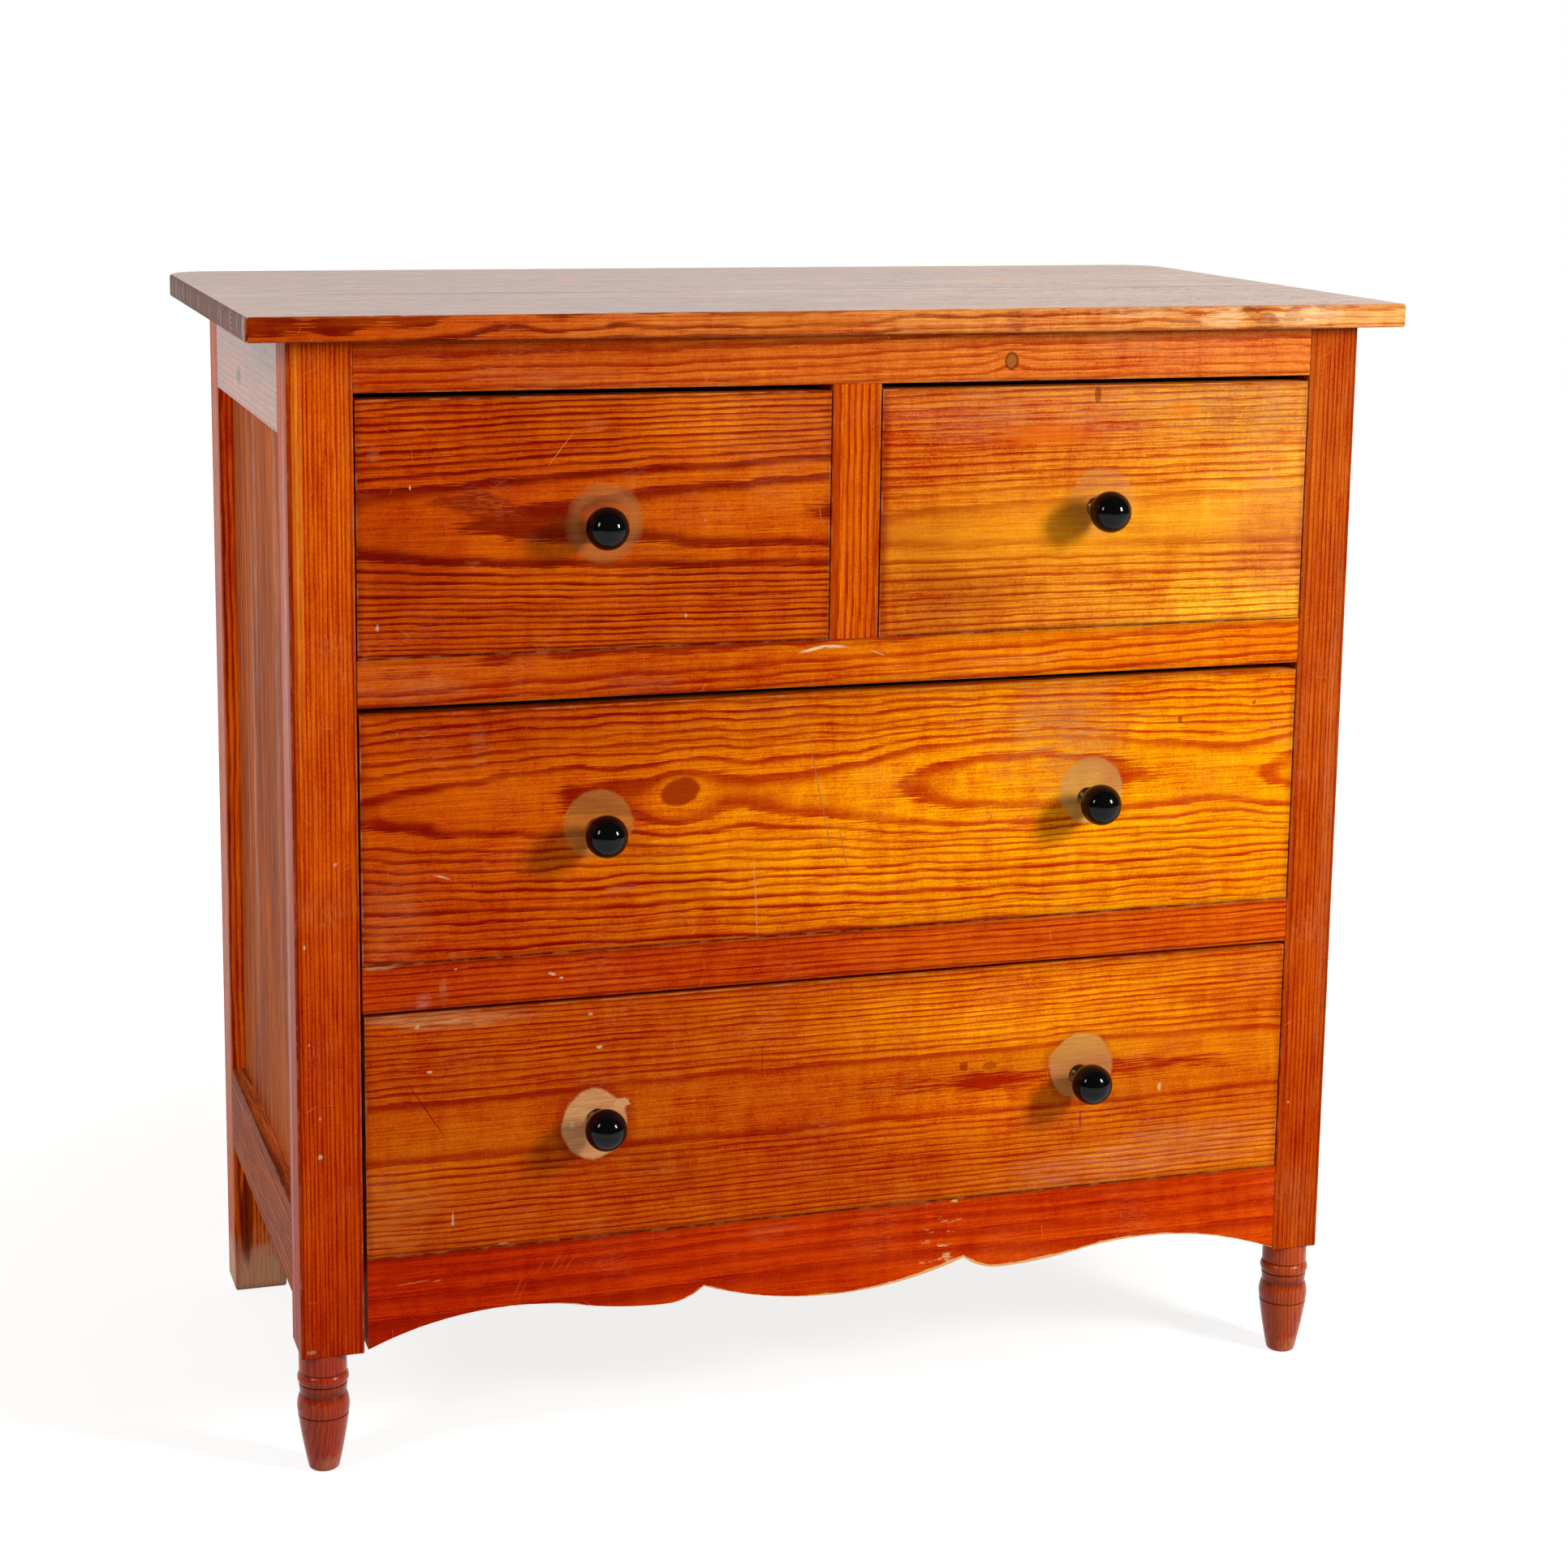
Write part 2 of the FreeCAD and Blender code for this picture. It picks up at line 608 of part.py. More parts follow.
levels = {"upper": upper_level, "middle": middle_level, "lower": bottom_level}

write("top_board", top_board.cut(screws))
write("front_top_rail", top_rail.cut([divider, kicker] + screws + sinks))
write("upper_rail", upper_rail.cut([divider, centre_runner]))
write("lower_rail", lower_rail)
write("scalloped_apron", apron)
write("drawer_divider", divider)
write("back_top_rail", back_top.cut([kicker] + screws + sinks + nails))
write("back_upper_rail", back_upper.cut([centre_runner] + nails))
write("back_bottom_rail", back_bottom.cut(nails))
write("back_panel", back_panel.cut(nails))
write("upper_runner_centre", centre_runner)
write("top_kicker", kicker)
write("drawer_stops", Part.makeCompound(make_stops()))
write("top_screws", Part.makeCompound(screws))
write("back_nails", Part.makeCompound(nails))

for side, word in ((LEFT, "left"), (RIGHT, "right")):
    rail_high = make_side_rail(side, side_top_low, under_top, side_top_low, side_top_low + PANEL_GROOVE)
    rail_low = make_side_rail(
        side, side_bottom_low, side_bottom_top, side_bottom_top - PANEL_GROOVE, side_bottom_top)
    runners = {height: make_runner(side, level) for height, level in levels.items()}
    held = [rail_high, rail_low] + list(runners.values())
    write("side_top_rail_" + word, rail_high)
    write("side_bottom_rail_" + word, rail_low)
    write("side_panel_" + word, make_side_panel(side))
    for height, runner in runners.items():
        write(height + "_runner_" + word, runner)
    write("front_post_" + word, make_front_post(side, held + front_rails))
    write("rear_post_" + word, make_rear_post(side, held + back_rails + [back_panel]))

# Drawers
left_end = -inner_front[LEFT] + DRAWER_GAP
right_end = inner_front[RIGHT] - DRAWER_GAP
make_drawer("top_left", left_end, divider_left - DRAWER_GAP, upper_level, [LEFT])
make_drawer("top_right", divider_right + DRAWER_GAP, right_end, upper_level, [RIGHT])
make_drawer("middle", left_end + OPEN_JOINT_UPPER, right_end, middle_level, [LEFT, RIGHT])
make_drawer("bottom", left_end + OPEN_JOINT_LOWER, right_end, bottom_level, [LEFT, RIGHT])
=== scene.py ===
# %% [markdown]
# A varnished pine chest of drawers, dressed for its photograph.
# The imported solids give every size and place. This lesson adds what a camera sees on top of them:
# eased and worn edges, turned feet, glazed knobs, and pine with its rings, its stain and its old marks.

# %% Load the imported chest
import math

import bmesh
import bpy
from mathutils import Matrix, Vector


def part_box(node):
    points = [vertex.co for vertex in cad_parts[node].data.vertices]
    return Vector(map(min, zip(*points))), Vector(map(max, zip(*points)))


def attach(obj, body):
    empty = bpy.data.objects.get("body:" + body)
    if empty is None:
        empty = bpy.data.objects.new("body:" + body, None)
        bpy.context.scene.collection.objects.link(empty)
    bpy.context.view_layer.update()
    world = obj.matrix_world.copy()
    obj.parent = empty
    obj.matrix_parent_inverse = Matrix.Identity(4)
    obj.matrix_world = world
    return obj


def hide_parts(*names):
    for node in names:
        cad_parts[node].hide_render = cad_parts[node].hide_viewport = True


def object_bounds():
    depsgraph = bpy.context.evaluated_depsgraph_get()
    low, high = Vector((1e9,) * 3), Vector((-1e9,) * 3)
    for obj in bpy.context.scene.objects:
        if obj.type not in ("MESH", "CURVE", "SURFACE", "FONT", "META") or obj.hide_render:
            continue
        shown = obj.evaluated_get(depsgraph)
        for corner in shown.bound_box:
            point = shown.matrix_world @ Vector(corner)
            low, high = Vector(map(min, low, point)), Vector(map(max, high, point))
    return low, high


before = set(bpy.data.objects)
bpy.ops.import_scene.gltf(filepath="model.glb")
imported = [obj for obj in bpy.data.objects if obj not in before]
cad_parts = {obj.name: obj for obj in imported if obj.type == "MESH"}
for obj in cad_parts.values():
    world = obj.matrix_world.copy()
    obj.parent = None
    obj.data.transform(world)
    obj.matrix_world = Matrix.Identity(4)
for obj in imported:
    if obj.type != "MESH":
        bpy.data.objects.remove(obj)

MM = 0.001
cad_low, cad_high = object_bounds()
bpy.ops.object.select_all(action="DESELECT")
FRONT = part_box("upper_rail")[0].y
print("loaded", len(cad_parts), "nodes, face of the rails at y =", round(FRONT, 5))

# %% [markdown]
# The camera stood a little to the left of the chest, above its top, and looked slightly down.
# Its place, turn and lens were found by fitting the corners of the solids to the photograph.
# A small shift stands for the way the picture was cropped: more white above the chest than below it.

# %% Set up the camera
PHOTO_WIDTH, PHOTO_HEIGHT = 1932, 1914
FOCAL_PIXELS = 3773.9
AXIS_ROW = 780
SENSOR = 36.0
EYE = (-0.8097, -2.5934, 1.1463)
EYE_TURN = (79.611, -0.736, -17.611)
bpy.ops.object.camera_add(location=EYE, rotation=[math.radians(a) for a in EYE_TURN])
camera = bpy.context.object
camera.name = "photo_camera"
camera.data.sensor_fit = "HORIZONTAL"
camera.data.sensor_width = SENSOR
camera.data.lens = FOCAL_PIXELS * SENSOR / PHOTO_WIDTH
camera.data.shift_y = (AXIS_ROW - PHOTO_HEIGHT / 2) / PHOTO_WIDTH
bpy.context.scene.camera = camera
bpy.context.scene.view_settings.view_transform = "Standard"
print("lens", round(camera.data.lens, 2), "mm, shift", round(camera.data.shift_y, 4))

# %% [markdown]
# Materials in this lesson are built from small nodes, and short helpers keep that readable.
# These add a node, fill its sockets with values or with other nodes, and show the finished coat.

# %% Helpers for wiring materials
def put(tree, kind, **options):
    made = tree.nodes.new("ShaderNode" + kind)
    for option, value in options.items():
        setattr(made, option, value)
    return made


def plug(tree, value, socket):
    if isinstance(value, bpy.types.NodeSocket):
        tree.links.new(value, socket)
    else:
        socket.default_value = value


def plug_all(tree, values, sockets):
    for value, socket in zip(values, sockets):
        plug(tree, value, socket)


def fill(tree, made, **values):
    for entry, value in values.items():
        plug(tree, value, made.inputs[entry.replace("_", " ")])
    return made


def show(tree, shader, kind="OutputMaterial"):
    tree.links.new(shader.outputs[0], put(tree, kind).inputs["Surface"])


def coat(tree, **values):
    show(tree, fill(tree, put(tree, "BsdfPrincipled"), **values))


def new_material(name):
    material = bpy.data.materials.new(name)
    material.use_nodes = True
    material.node_tree.nodes.clear()
    return material, material.node_tree


print("wiring helpers ready")

# %% [markdown]
# Patterns are made of sums, smooth steps, blends and clouds of noise. A wobble is such a noise round zero,
# and a sway is the same in three directions. A colour is written as a screen shows it, from 0 to 255, and
# turned into amounts of light.

# %% Helpers for patterns
HALF = (0.5, 0.5, 0.5)


def calc(tree, operation, *values):
    made = put(tree, "Math", operation=operation)
    plug_all(tree, values, made.inputs)
    return made.outputs[0]


def vector_calc(tree, operation, *values):
    made = put(tree, "VectorMath", operation=operation)
    plug_all(tree, values, made.inputs)
    return made.outputs["Value" if operation == "LENGTH" else "Vector"]


def step(tree, value, low, high, at_low=0.0, at_high=1.0):
    made = put(tree, "MapRange", interpolation_type="SMOOTHSTEP")
    plug_all(tree, (value, low, high, at_low, at_high), made.inputs)
    return made.outputs[0]


def blend(tree, share, first, second, how="MIX"):
    made = put(tree, "Mix", data_type="RGBA", blend_type=how, clamp_factor=True)
    plug_all(tree, (share, first, second), (made.inputs[0], made.inputs[6], made.inputs[7]))
    return made.outputs[2]


def between(tree, share, first, second):
    made = put(tree, "Mix", data_type="FLOAT")
    plug_all(tree, (share, first, second), (made.inputs[0], made.inputs[2], made.inputs[3]))
    return made.outputs[0]


def cloud(tree, where, stretch, detail=2.0, roughness=0.5):
    stretched = vector_calc(tree, "MULTIPLY", where, stretch)
    made = put(tree, "TexNoise")
    return fill(tree, made, Vector=stretched, Scale=1.0, Detail=detail, Roughness=roughness).outputs


def wobble(tree, where, stretch, detail, roughness=0.5):
    return calc(tree, "SUBTRACT", cloud(tree, where, stretch, detail, roughness)[0], 0.5)


def sway(tree, where, stretch, detail, roughness=0.5):
    return vector_calc(tree, "SUBTRACT", cloud(tree, where, stretch, detail, roughness)[1], HALF)


def tint(red, green, blue):
    def linear(part):
        part = part / 255
        return part / 12.92 if part <= 0.04045 else ((part + 0.055) / 1.055) ** 2.4
    return (linear(red), linear(green), linear(blue), 1.0)


print("pattern helpers ready")

# %% [markdown]
# The photograph was taken on white. A pale floor carries the chest and keeps its soft shadow.
# For the camera and for reflections the floor and the room behind are white, as a paper backdrop is,
# so the white needs no extra light on the wood.

# %% Lay the floor
FLOOR_WIDE, FLOOR_DROP = 14.0, 0.0004
FLOOR_PALE, FLOOR_FLECK = (0.31, 0.30, 0.29, 1.0), (0.33, 0.32, 0.31, 1.0)
NEAR_REACH, FAR_REACH = 0.6, 1.6
FLOOR_WHITE_NEAR, FLOOR_WHITE_FAR = 0.82, 0.96
bpy.ops.mesh.primitive_plane_add(size=FLOOR_WIDE, location=(0, 0, -FLOOR_DROP))
floor = bpy.context.object
floor.name = "pale_floor"
paper, tree = new_material("pale_paper")
path = put(tree, "LightPath").outputs
seen = calc(tree, "MAXIMUM", path["Is Camera Ray"], path["Is Glossy Ray"])
seen = calc(tree, "MAXIMUM", seen, path["Is Transmission Ray"])
spread = put(tree, "TexCoord").outputs["Object"]
fleck = cloud(tree, spread, (3.0, 3.0, 3.0))[0]
matt = fill(tree, put(tree, "BsdfDiffuse"), Color=blend(tree, fleck, FLOOR_PALE, FLOOR_FLECK))
away = vector_calc(tree, "LENGTH", spread)
white = step(tree, away, NEAR_REACH, FAR_REACH, FLOOR_WHITE_NEAR, FLOOR_WHITE_FAR)
shine = fill(tree, put(tree, "Emission"), Strength=calc(tree, "MULTIPLY", seen, white))
both = put(tree, "AddShader")
plug_all(tree, (matt.outputs[0], shine.outputs[0]), both.inputs)
show(tree, both)
floor.data.materials.append(paper)
print("floor laid")

# %% [markdown]
# A studio room is bright behind the chest and dim behind the camera. That is why the varnish on the top and
# on the left side, seen at a low angle, looks milky, while the drawer fronts stay deep in colour.
# The world gets that shape: white to the eye, bright behind for reflections, even and modest for soft light.

# %% Shape the room light
WHITE, ROOM_SOFT, ROOM_DIM = (1.0, 1.0, 1.0, 1.0), 0.42, 0.05
BACKDROP_DEEP, BACKDROP_HIGH = (-0.05, 0.45), (0.3, 0.75, 1.0, 0.1)
SOFT_DEEP = (-1.0, 1.0, 0.8, 1.2)
world = bpy.data.worlds.new("white_room")
bpy.context.scene.world = world
world.use_nodes = True
tree = world.node_tree
tree.nodes.clear()
path = put(tree, "LightPath").outputs
way = put(tree, "SeparateXYZ")
plug(tree, put(tree, "TexCoord").outputs["Generated"], way.inputs[0])
deep, high = way.outputs["Y"], way.outputs["Z"]
backdrop = calc(tree, "MULTIPLY", step(tree, deep, *BACKDROP_DEEP), step(tree, high, *BACKDROP_HIGH))
behind = calc(tree, "MAXIMUM", backdrop, ROOM_DIM)
soft = calc(tree, "MULTIPLY", ROOM_SOFT, step(tree, deep, *SOFT_DEEP))
level = between(tree, path["Is Glossy Ray"], soft, behind)
direct = calc(tree, "MAXIMUM", path["Is Camera Ray"], path["Is Transmission Ray"])
sky = fill(tree, put(tree, "Background"), Color=WHITE, Strength=between(tree, direct, level, 1.0))
show(tree, sky, "OutputWorld")
print("room light shaped")

# %% [markdown]
# Two softboxes show in every black knob: a tall one at the upper right, which throws the knobs' shadows to
# the lower left, and a weaker one at the upper left. The right one is nearer, so the right half is brighter,
# and the colours of the front boards add to this with painted light.

# %% Hang the softboxes
def softbox(name, place, aim, width, height, watts):
    bpy.ops.object.light_add(type="AREA", location=place)
    lamp = bpy.context.object
    lamp.name = name
    lamp.data.shape = "RECTANGLE"
    lamp.data.size, lamp.data.size_y = width, height
    lamp.data.energy = watts
    lamp.rotation_euler = (Vector(aim) - Vector(place)).to_track_quat("-Z", "Y").to_euler()
    print("softbox", name, watts, "W")


softbox("right_softbox", (1.5, -1.7, 1.42), aim=(0.05, FRONT, 0.5), width=0.36, height=0.6, watts=42.0)
softbox("left_softbox", (-1.9, -1.05, 1.65), aim=(-0.2, FRONT, 0.55), width=0.3, height=0.6, watts=13.0)

# %% [markdown]
# Pine is a stack of growth rings round a pith. Sawn close to the pith a board shows wide flames, sawn far
# from it straight lines. So the pattern is worked out as on a real board: the distance of each point from a
# pith line, wandering a little along the tree, divided into rings that are pale first and dark at their
# end. The first rings of a tree are wide, so rings within the heart have a width of their own. One node
# group does this for every board, so the grain also runs round edges and shows rings on end grain.

# %% Measure the reach from the pith
SEED_SHOVES = (0.731, 0.377, 0.533)
BROAD_SWAY, RIPPLE_SWAY = (1.7, 6.0, 6.0), (17.0, 30.0, 30.0)
rings = bpy.data.node_groups.new("pine_rings", "ShaderNodeTree")
for kind, entries in {
    "NodeSocketVector": ("Grain", "Pith", "Lean"),
    "NodeSocketFloat": ("Ring", "Heart", "Heart Ring", "Share", "Wander", "Ripple", "Swell", "Seed"),
}.items():
    for entry in entries:
        rings.interface.new_socket(entry, in_out="INPUT", socket_type=kind)
given = rings.nodes.new("NodeGroupInput").outputs


def scale_by(tree, vector, factor):
    made = put(tree, "VectorMath", operation="SCALE")
    plug_all(tree, (vector, factor), (made.inputs[0], made.inputs["Scale"]))
    return made.outputs[0]


shove = put(rings, "CombineXYZ")
plug_all(rings, [calc(rings, "MULTIPLY", given["Seed"], factor) for factor in SEED_SHOVES], shove.inputs)
place = vector_calc(rings, "ADD", given["Grain"], shove.outputs[0])
broad = sway(rings, place, BROAD_SWAY, 1.0)
ripple = sway(rings, place, RIPPLE_SWAY, 1.5)
length_on = put(rings, "SeparateXYZ")
plug(rings, given["Grain"], length_on.inputs[0])
leant = scale_by(rings, given["Lean"], length_on.outputs[0])
bent = vector_calc(rings, "SUBTRACT", vector_calc(rings, "SUBTRACT", given["Grain"], given["Pith"]), leant)
bent = vector_calc(rings, "ADD", bent, scale_by(rings, broad, given["Wander"]))
bent = vector_calc(rings, "ADD", bent, scale_by(rings, ripple, given["Ripple"]))
bent = vector_calc(rings, "MULTIPLY", bent, (0.0, 1.0, 1.0))
reach = calc(rings, "ADD", vector_calc(rings, "LENGTH", bent), given["Swell"])
print("reach measured with", len(rings.nodes), "nodes")

# %% [markdown]
# The reach is counted in rings. The part of a year at each point says whether it is pale early wood or dark
# late wood. Late wood begins gradually and ends sharply, each year has its own strength, and the lines fade
# in and out along the board. Fibres, pores and drifting clouds of colour come out of the same group.

# %% Count the years
YEAR_PACE, YEAR_SWAY = 0.23, 1.3
LATE_ENDS, LATE_RISE, LATE_FALL = 0.92, 0.26, (0.93, 1.0, 1.0, 0.0)
FIBRES, HAIRS, PORES = (10.0, 620.0, 620.0), (34.0, 1250.0, 1250.0), (48.0, 1300.0, 1300.0)
FADES, CLOUDS = (13.0, 90.0, 90.0), (3.2, 11.0, 11.0)
beyond = calc(rings, "SUBTRACT", reach, given["Heart"])
inner = calc(rings, "DIVIDE", calc(rings, "MINIMUM", beyond, 0.0), given["Heart Ring"])
outer = calc(rings, "DIVIDE", calc(rings, "MAXIMUM", beyond, 0.0), given["Ring"])
count = calc(rings, "ADD", inner, outer)
year = calc(rings, "ADD", calc(rings, "MULTIPLY", count, YEAR_PACE), given["Seed"])
years = fill(rings, put(rings, "TexNoise", noise_dimensions="1D"), W=year, Scale=1.0, Detail=2.0)
shift = calc(rings, "MULTIPLY_ADD", years.outputs[0], YEAR_SWAY, -YEAR_SWAY / 2)
count = calc(rings, "ADD", count, shift)
fibre = wobble(rings, place, FIBRES, 4.0, 0.7)
hair = wobble(rings, place, HAIRS, 2.0, 0.6)
count = calc(rings, "MULTIPLY_ADD", fibre, 0.4, calc(rings, "MULTIPLY_ADD", hair, 0.45, count))
part = calc(rings, "FRACT", count)
begin = calc(rings, "SUBTRACT", LATE_ENDS, given["Share"])
rise = step(rings, part, begin, calc(rings, "ADD", begin, LATE_RISE))
late = calc(rings, "MULTIPLY", rise, step(rings, part, *LATE_FALL))
whole_year = calc(rings, "ADD", calc(rings, "FLOOR", count), given["Seed"])
own = fill(rings, put(rings, "TexWhiteNoise", noise_dimensions="1D"), W=whole_year)
late = calc(rings, "MULTIPLY", late, calc(rings, "MULTIPLY_ADD", own.outputs[0], 0.25, 0.75))
late = calc(rings, "MULTIPLY", late, step(rings, cloud(rings, place, FADES, 2.0)[0], 0.3, 0.55, 0.7, 1.0))
outputs = {
    "Late": late,
    "Fibre": calc(rings, "MULTIPLY_ADD", hair, 0.5, fibre),
    "Cloudy": wobble(rings, place, CLOUDS, 3.0),
    "Pore": step(rings, cloud(rings, place, PORES, 1.0)[0], 0.58, 0.70),
}
for entry in outputs:
    rings.interface.new_socket(entry, in_out="OUTPUT", socket_type="NodeSocketFloat")
fill(rings, rings.nodes.new("NodeGroupOutput"), **outputs)
print("growth rings built with", len(rings.nodes), "nodes")

# %% [markdown]
# Old marks sit at known places: pale discs where round plates once stood under the knobs, knots, scratches,
# drips and hazy patches in the varnish. Each is an oval on the wood with a ragged or soft rim, a line is a
# very thin oval, and a ring is only the rim. A swell bends the rings round a point, as a knot does.

# %% Helpers for marks and swells
MARK_DEPTH, SWELL_DEPTH = 6.0, 60.0
FACE_TEAR, ROUND_TEAR = (2.0, 0.0, 2.0), (2.0, 2.0, 2.0)
TEARS, TEAR_APART = (1.5, 1.5, 1.5), 61.0
BREAKS = (34.0, 420.0, 420.0)


def spot(
    place, size, colour, strength=1.0, turn=0.0, ragged=0.0, soft=0.15, how="MIX", rim=0.0, broken=0.0,
    tear=ROUND_TEAR,
):
    return dict(
        place=(place[0] * MM, FRONT + place[1] * MM, place[2] * MM), size=[part * MM for part in size],
        colour=tint(*colour), strength=strength, turn=math.radians(turn),
        tear=[part * ragged for part in tear],
        soft=soft, how=how, rim=rim, broken=broken)


def mark(x, z, wide, high, colour, strength=1.0, turn=0.0, ragged=0.0, soft=0.15, **more):
    size = (wide, MARK_DEPTH, high)
    return spot((x, 0.0, z), size, colour, strength, turn, ragged, soft, tear=FACE_TEAR, **more)


def stroke(x1, z1, x2, z2, width, colour, strength=0.8, ragged=0.0, broken=0.0):
    wide = math.dist((x1, z1), (x2, z2)) / 2
    turn = -math.degrees(math.atan2(z2 - z1, x2 - x1))
    middle = ((x1 + x2) / 2, (z1 + z2) / 2)
    return mark(*middle, wide, width / 2, colour, strength, turn, ragged, 0.4, broken=broken)


def seated(tree, where, place, size, turn=0.0):
    seat = put(tree, "Mapping", vector_type="TEXTURE")
    return fill(tree, seat, Vector=where, Location=place, Rotation=(0.0, turn, 0.0), Scale=size).outputs[0]


def mark_mask(tree, where, grain, one):
    inside = seated(tree, where, one["place"], one["size"], one["turn"])
    if max(one["tear"]):
        apart = tuple(number * TEAR_APART for number in one["place"])
        rag = sway(tree, vector_calc(tree, "ADD", inside, apart), TEARS, 4.0, 0.6)
        inside = vector_calc(tree, "MULTIPLY_ADD", rag, one["tear"], inside)
    away = vector_calc(tree, "LENGTH", inside)
    if one["rim"]:
        off_rim = calc(tree, "ABSOLUTE", calc(tree, "SUBTRACT", away, 1.0))
        away = calc(tree, "ADD", off_rim, 1 - one["rim"])
    mask = step(tree, away, 1 - one["soft"], 1 + one["soft"], one["strength"], 0.0)
    if one["broken"]:
        gaps = step(tree, cloud(tree, grain, BREAKS, 3.0, 0.65)[0], 0.40, 0.62, 1 - one["broken"], 1.0)
        mask = calc(tree, "MULTIPLY", mask, gaps)
    return mask


def swell_height(tree, where, x, z, wide, high, rise):
    size = (wide * MM, SWELL_DEPTH * MM, high * MM)
    away = vector_calc(tree, "LENGTH", seated(tree, where, (x * MM, FRONT, z * MM), size))
    fall = calc(tree, "EXPONENT", calc(tree, "MULTIPLY", calc(tree, "MULTIPLY", away, away), -1.0))
    return calc(tree, "MULTIPLY", fall, rise * MM)


print("marks and swells ready")

# %% [markdown]
# The finish is an orange-red stain under old varnish. Stain sinks into the pale part of each ring and
# leaves the dark part redder. Colour drifts from board to board and along a board, golden where it is light
# and red where it is deep, and fibres streak it. Along the front boards the drift is also painted light: each
# is lighter towards its right end, where the nearer softbox stands. The function takes the board's box, which
# way its grain runs, and how it was sawn.

# %% Stain a board
AXES = "XYZ"
FIBRE_SHADE, CLOUD_SHADE, PORE_SHADE, GRIT_SHADE, BRUSH_SHADE = 0.8, 0.85, 0.8, 0.5, 0.4
GRITS, BRUSHES = (700.0, 700.0, 700.0), (75.0, 75.0, 30.0)
LEAST_SHADE = (0.15, 0.06, 0.06)


def board_way(tree, where, low, high, order):
    axes = [AXES.index(axis) for axis in order]
    middle = [(a + b) / 2 for a, b in zip(low, high)]
    apart = put(tree, "SeparateXYZ")
    plug(tree, vector_calc(tree, "SUBTRACT", where, middle), apart.inputs[0])
    ways = [apart.outputs[axis] for axis in axes]
    grain = put(tree, "CombineXYZ")
    plug_all(tree, ways, grain.inputs)
    return grain.outputs[0], ways, [(high[axis] - low[axis]) / 2 for axis in axes]


def saw_board(tree, where, grain, look):
    wood = put(tree, "Group")
    wood.node_tree = rings
    pith = (0.0, look["pith"][0] * MM, look["pith"][1] * MM)
    fill(tree, wood, Grain=grain, Pith=pith, Lean=(0.0, *look["lean"]), Share=look["share"],
        Seed=look["seed"])
    for entry in ("Ring", "Heart", "Heart Ring", "Wander", "Ripple"):
        wood.inputs[entry].default_value = look[entry.lower().replace(" ", "_")] * MM
    lift = 0.0
    for one in look["swells"]:
        lift = calc(tree, "ADD", swell_height(tree, where, *one), lift)
    return fill(tree, wood, Swell=lift).outputs


def stain_board(tree, where, ways, half, pale, dark, out, look):
    # From the first colours to the last along the board. On the front boards this is stain and painted light:
    # their right ends are painted lighter.
    along = step(tree, ways[0], -half[0], half[0])
    light = blend(tree, along, tint(*pale[0]), tint(*pale[-1]))
    deep = blend(tree, along, tint(*dark[0]), tint(*dark[-1]))
    colour = blend(tree, calc(tree, "MULTIPLY", out["Late"], look["depth"]), light, deep)
    grit = wobble(tree, where, GRITS, 2.0, 0.6)
    brushed = wobble(tree, where, BRUSHES, 3.0, 0.6)
    shade = (1.0, 1.0, 1.0)
    for pattern, strength in (
        (out["Fibre"], FIBRE_SHADE * look["streak"]), (out["Cloudy"], CLOUD_SHADE * look["drift"]),
        (out["Pore"], PORE_SHADE * look["pores"]), (grit, GRIT_SHADE), (brushed, BRUSH_SHADE),
    ):
        cool = strength * (1 + look["hue"])
        shade = vector_calc(tree, "MULTIPLY_ADD", pattern, (strength, cool, cool), shade)
    return vector_calc(tree, "MULTIPLY", colour, vector_calc(tree, "MAXIMUM", shade, LEAST_SHADE)), grit


print("stain ready")

# %% [markdown]
# Years of use leave scratches across the grain, scuffs that look like pale dust, specks of white paint and
# edges rubbed down to paler wood, and each board is made darker towards its rim. These come from noise, so
# every board wears differently.

# %% Wear a board
RUBBED, SCRATCH, SCUFF = tint(222, 150, 92), tint(236, 150, 70), tint(212, 128, 76)
PAINT_SPECK, EDGE_DARK = tint(226, 196, 172), tint(96, 12, 0)
SCRATCHES = ((38.0, 620.0), (-62.0, 520.0), (84.0, 700.0))
DUSTS, DUST_GRITS, PATCHES = (13.0, 13.0, 18.0), (130.0, 700.0, 700.0), (60.0, 60.0, 60.0)
SPECKS_PER_METRE, SPECK_GRITS, SPECK_TEAR = 26.0, (420.0, 420.0, 420.0), (0.003, 0.003, 0.003)


def scratched(tree, grain, colour, look):
    for slant, fine in SCRATCHES:
        turned = put(tree, "Mapping", vector_type="POINT")
        fill(tree, turned, Vector=grain, Rotation=(0.0, 0.0, math.radians(slant)))
        lines = cloud(tree, turned.outputs[0], (34.0, fine, 9.0), 1.0)[0]
        colour = blend(tree, step(tree, lines, 0.76, 0.81, 0.0, look["scratches"]), colour, SCRATCH)
    return colour


def paint_specks(tree, where, look):
    cell = put(tree, "TexVoronoi", feature="F1")
    torn = vector_calc(tree, "MULTIPLY_ADD", cloud(tree, where, SPECK_GRITS, 1.0)[1], SPECK_TEAR, where)
    fill(tree, cell, Vector=torn, Scale=SPECKS_PER_METRE)
    own = put(tree, "SeparateColor")
    plug(tree, cell.outputs["Color"], own.inputs[0])
    chance = step(tree, own.outputs[0], 0.78, 0.80)
    dots = step(tree, cell.outputs["Distance"], 0.010, 0.034, look["specks"], 0.0)
    return calc(tree, "MULTIPLY", dots, chance)


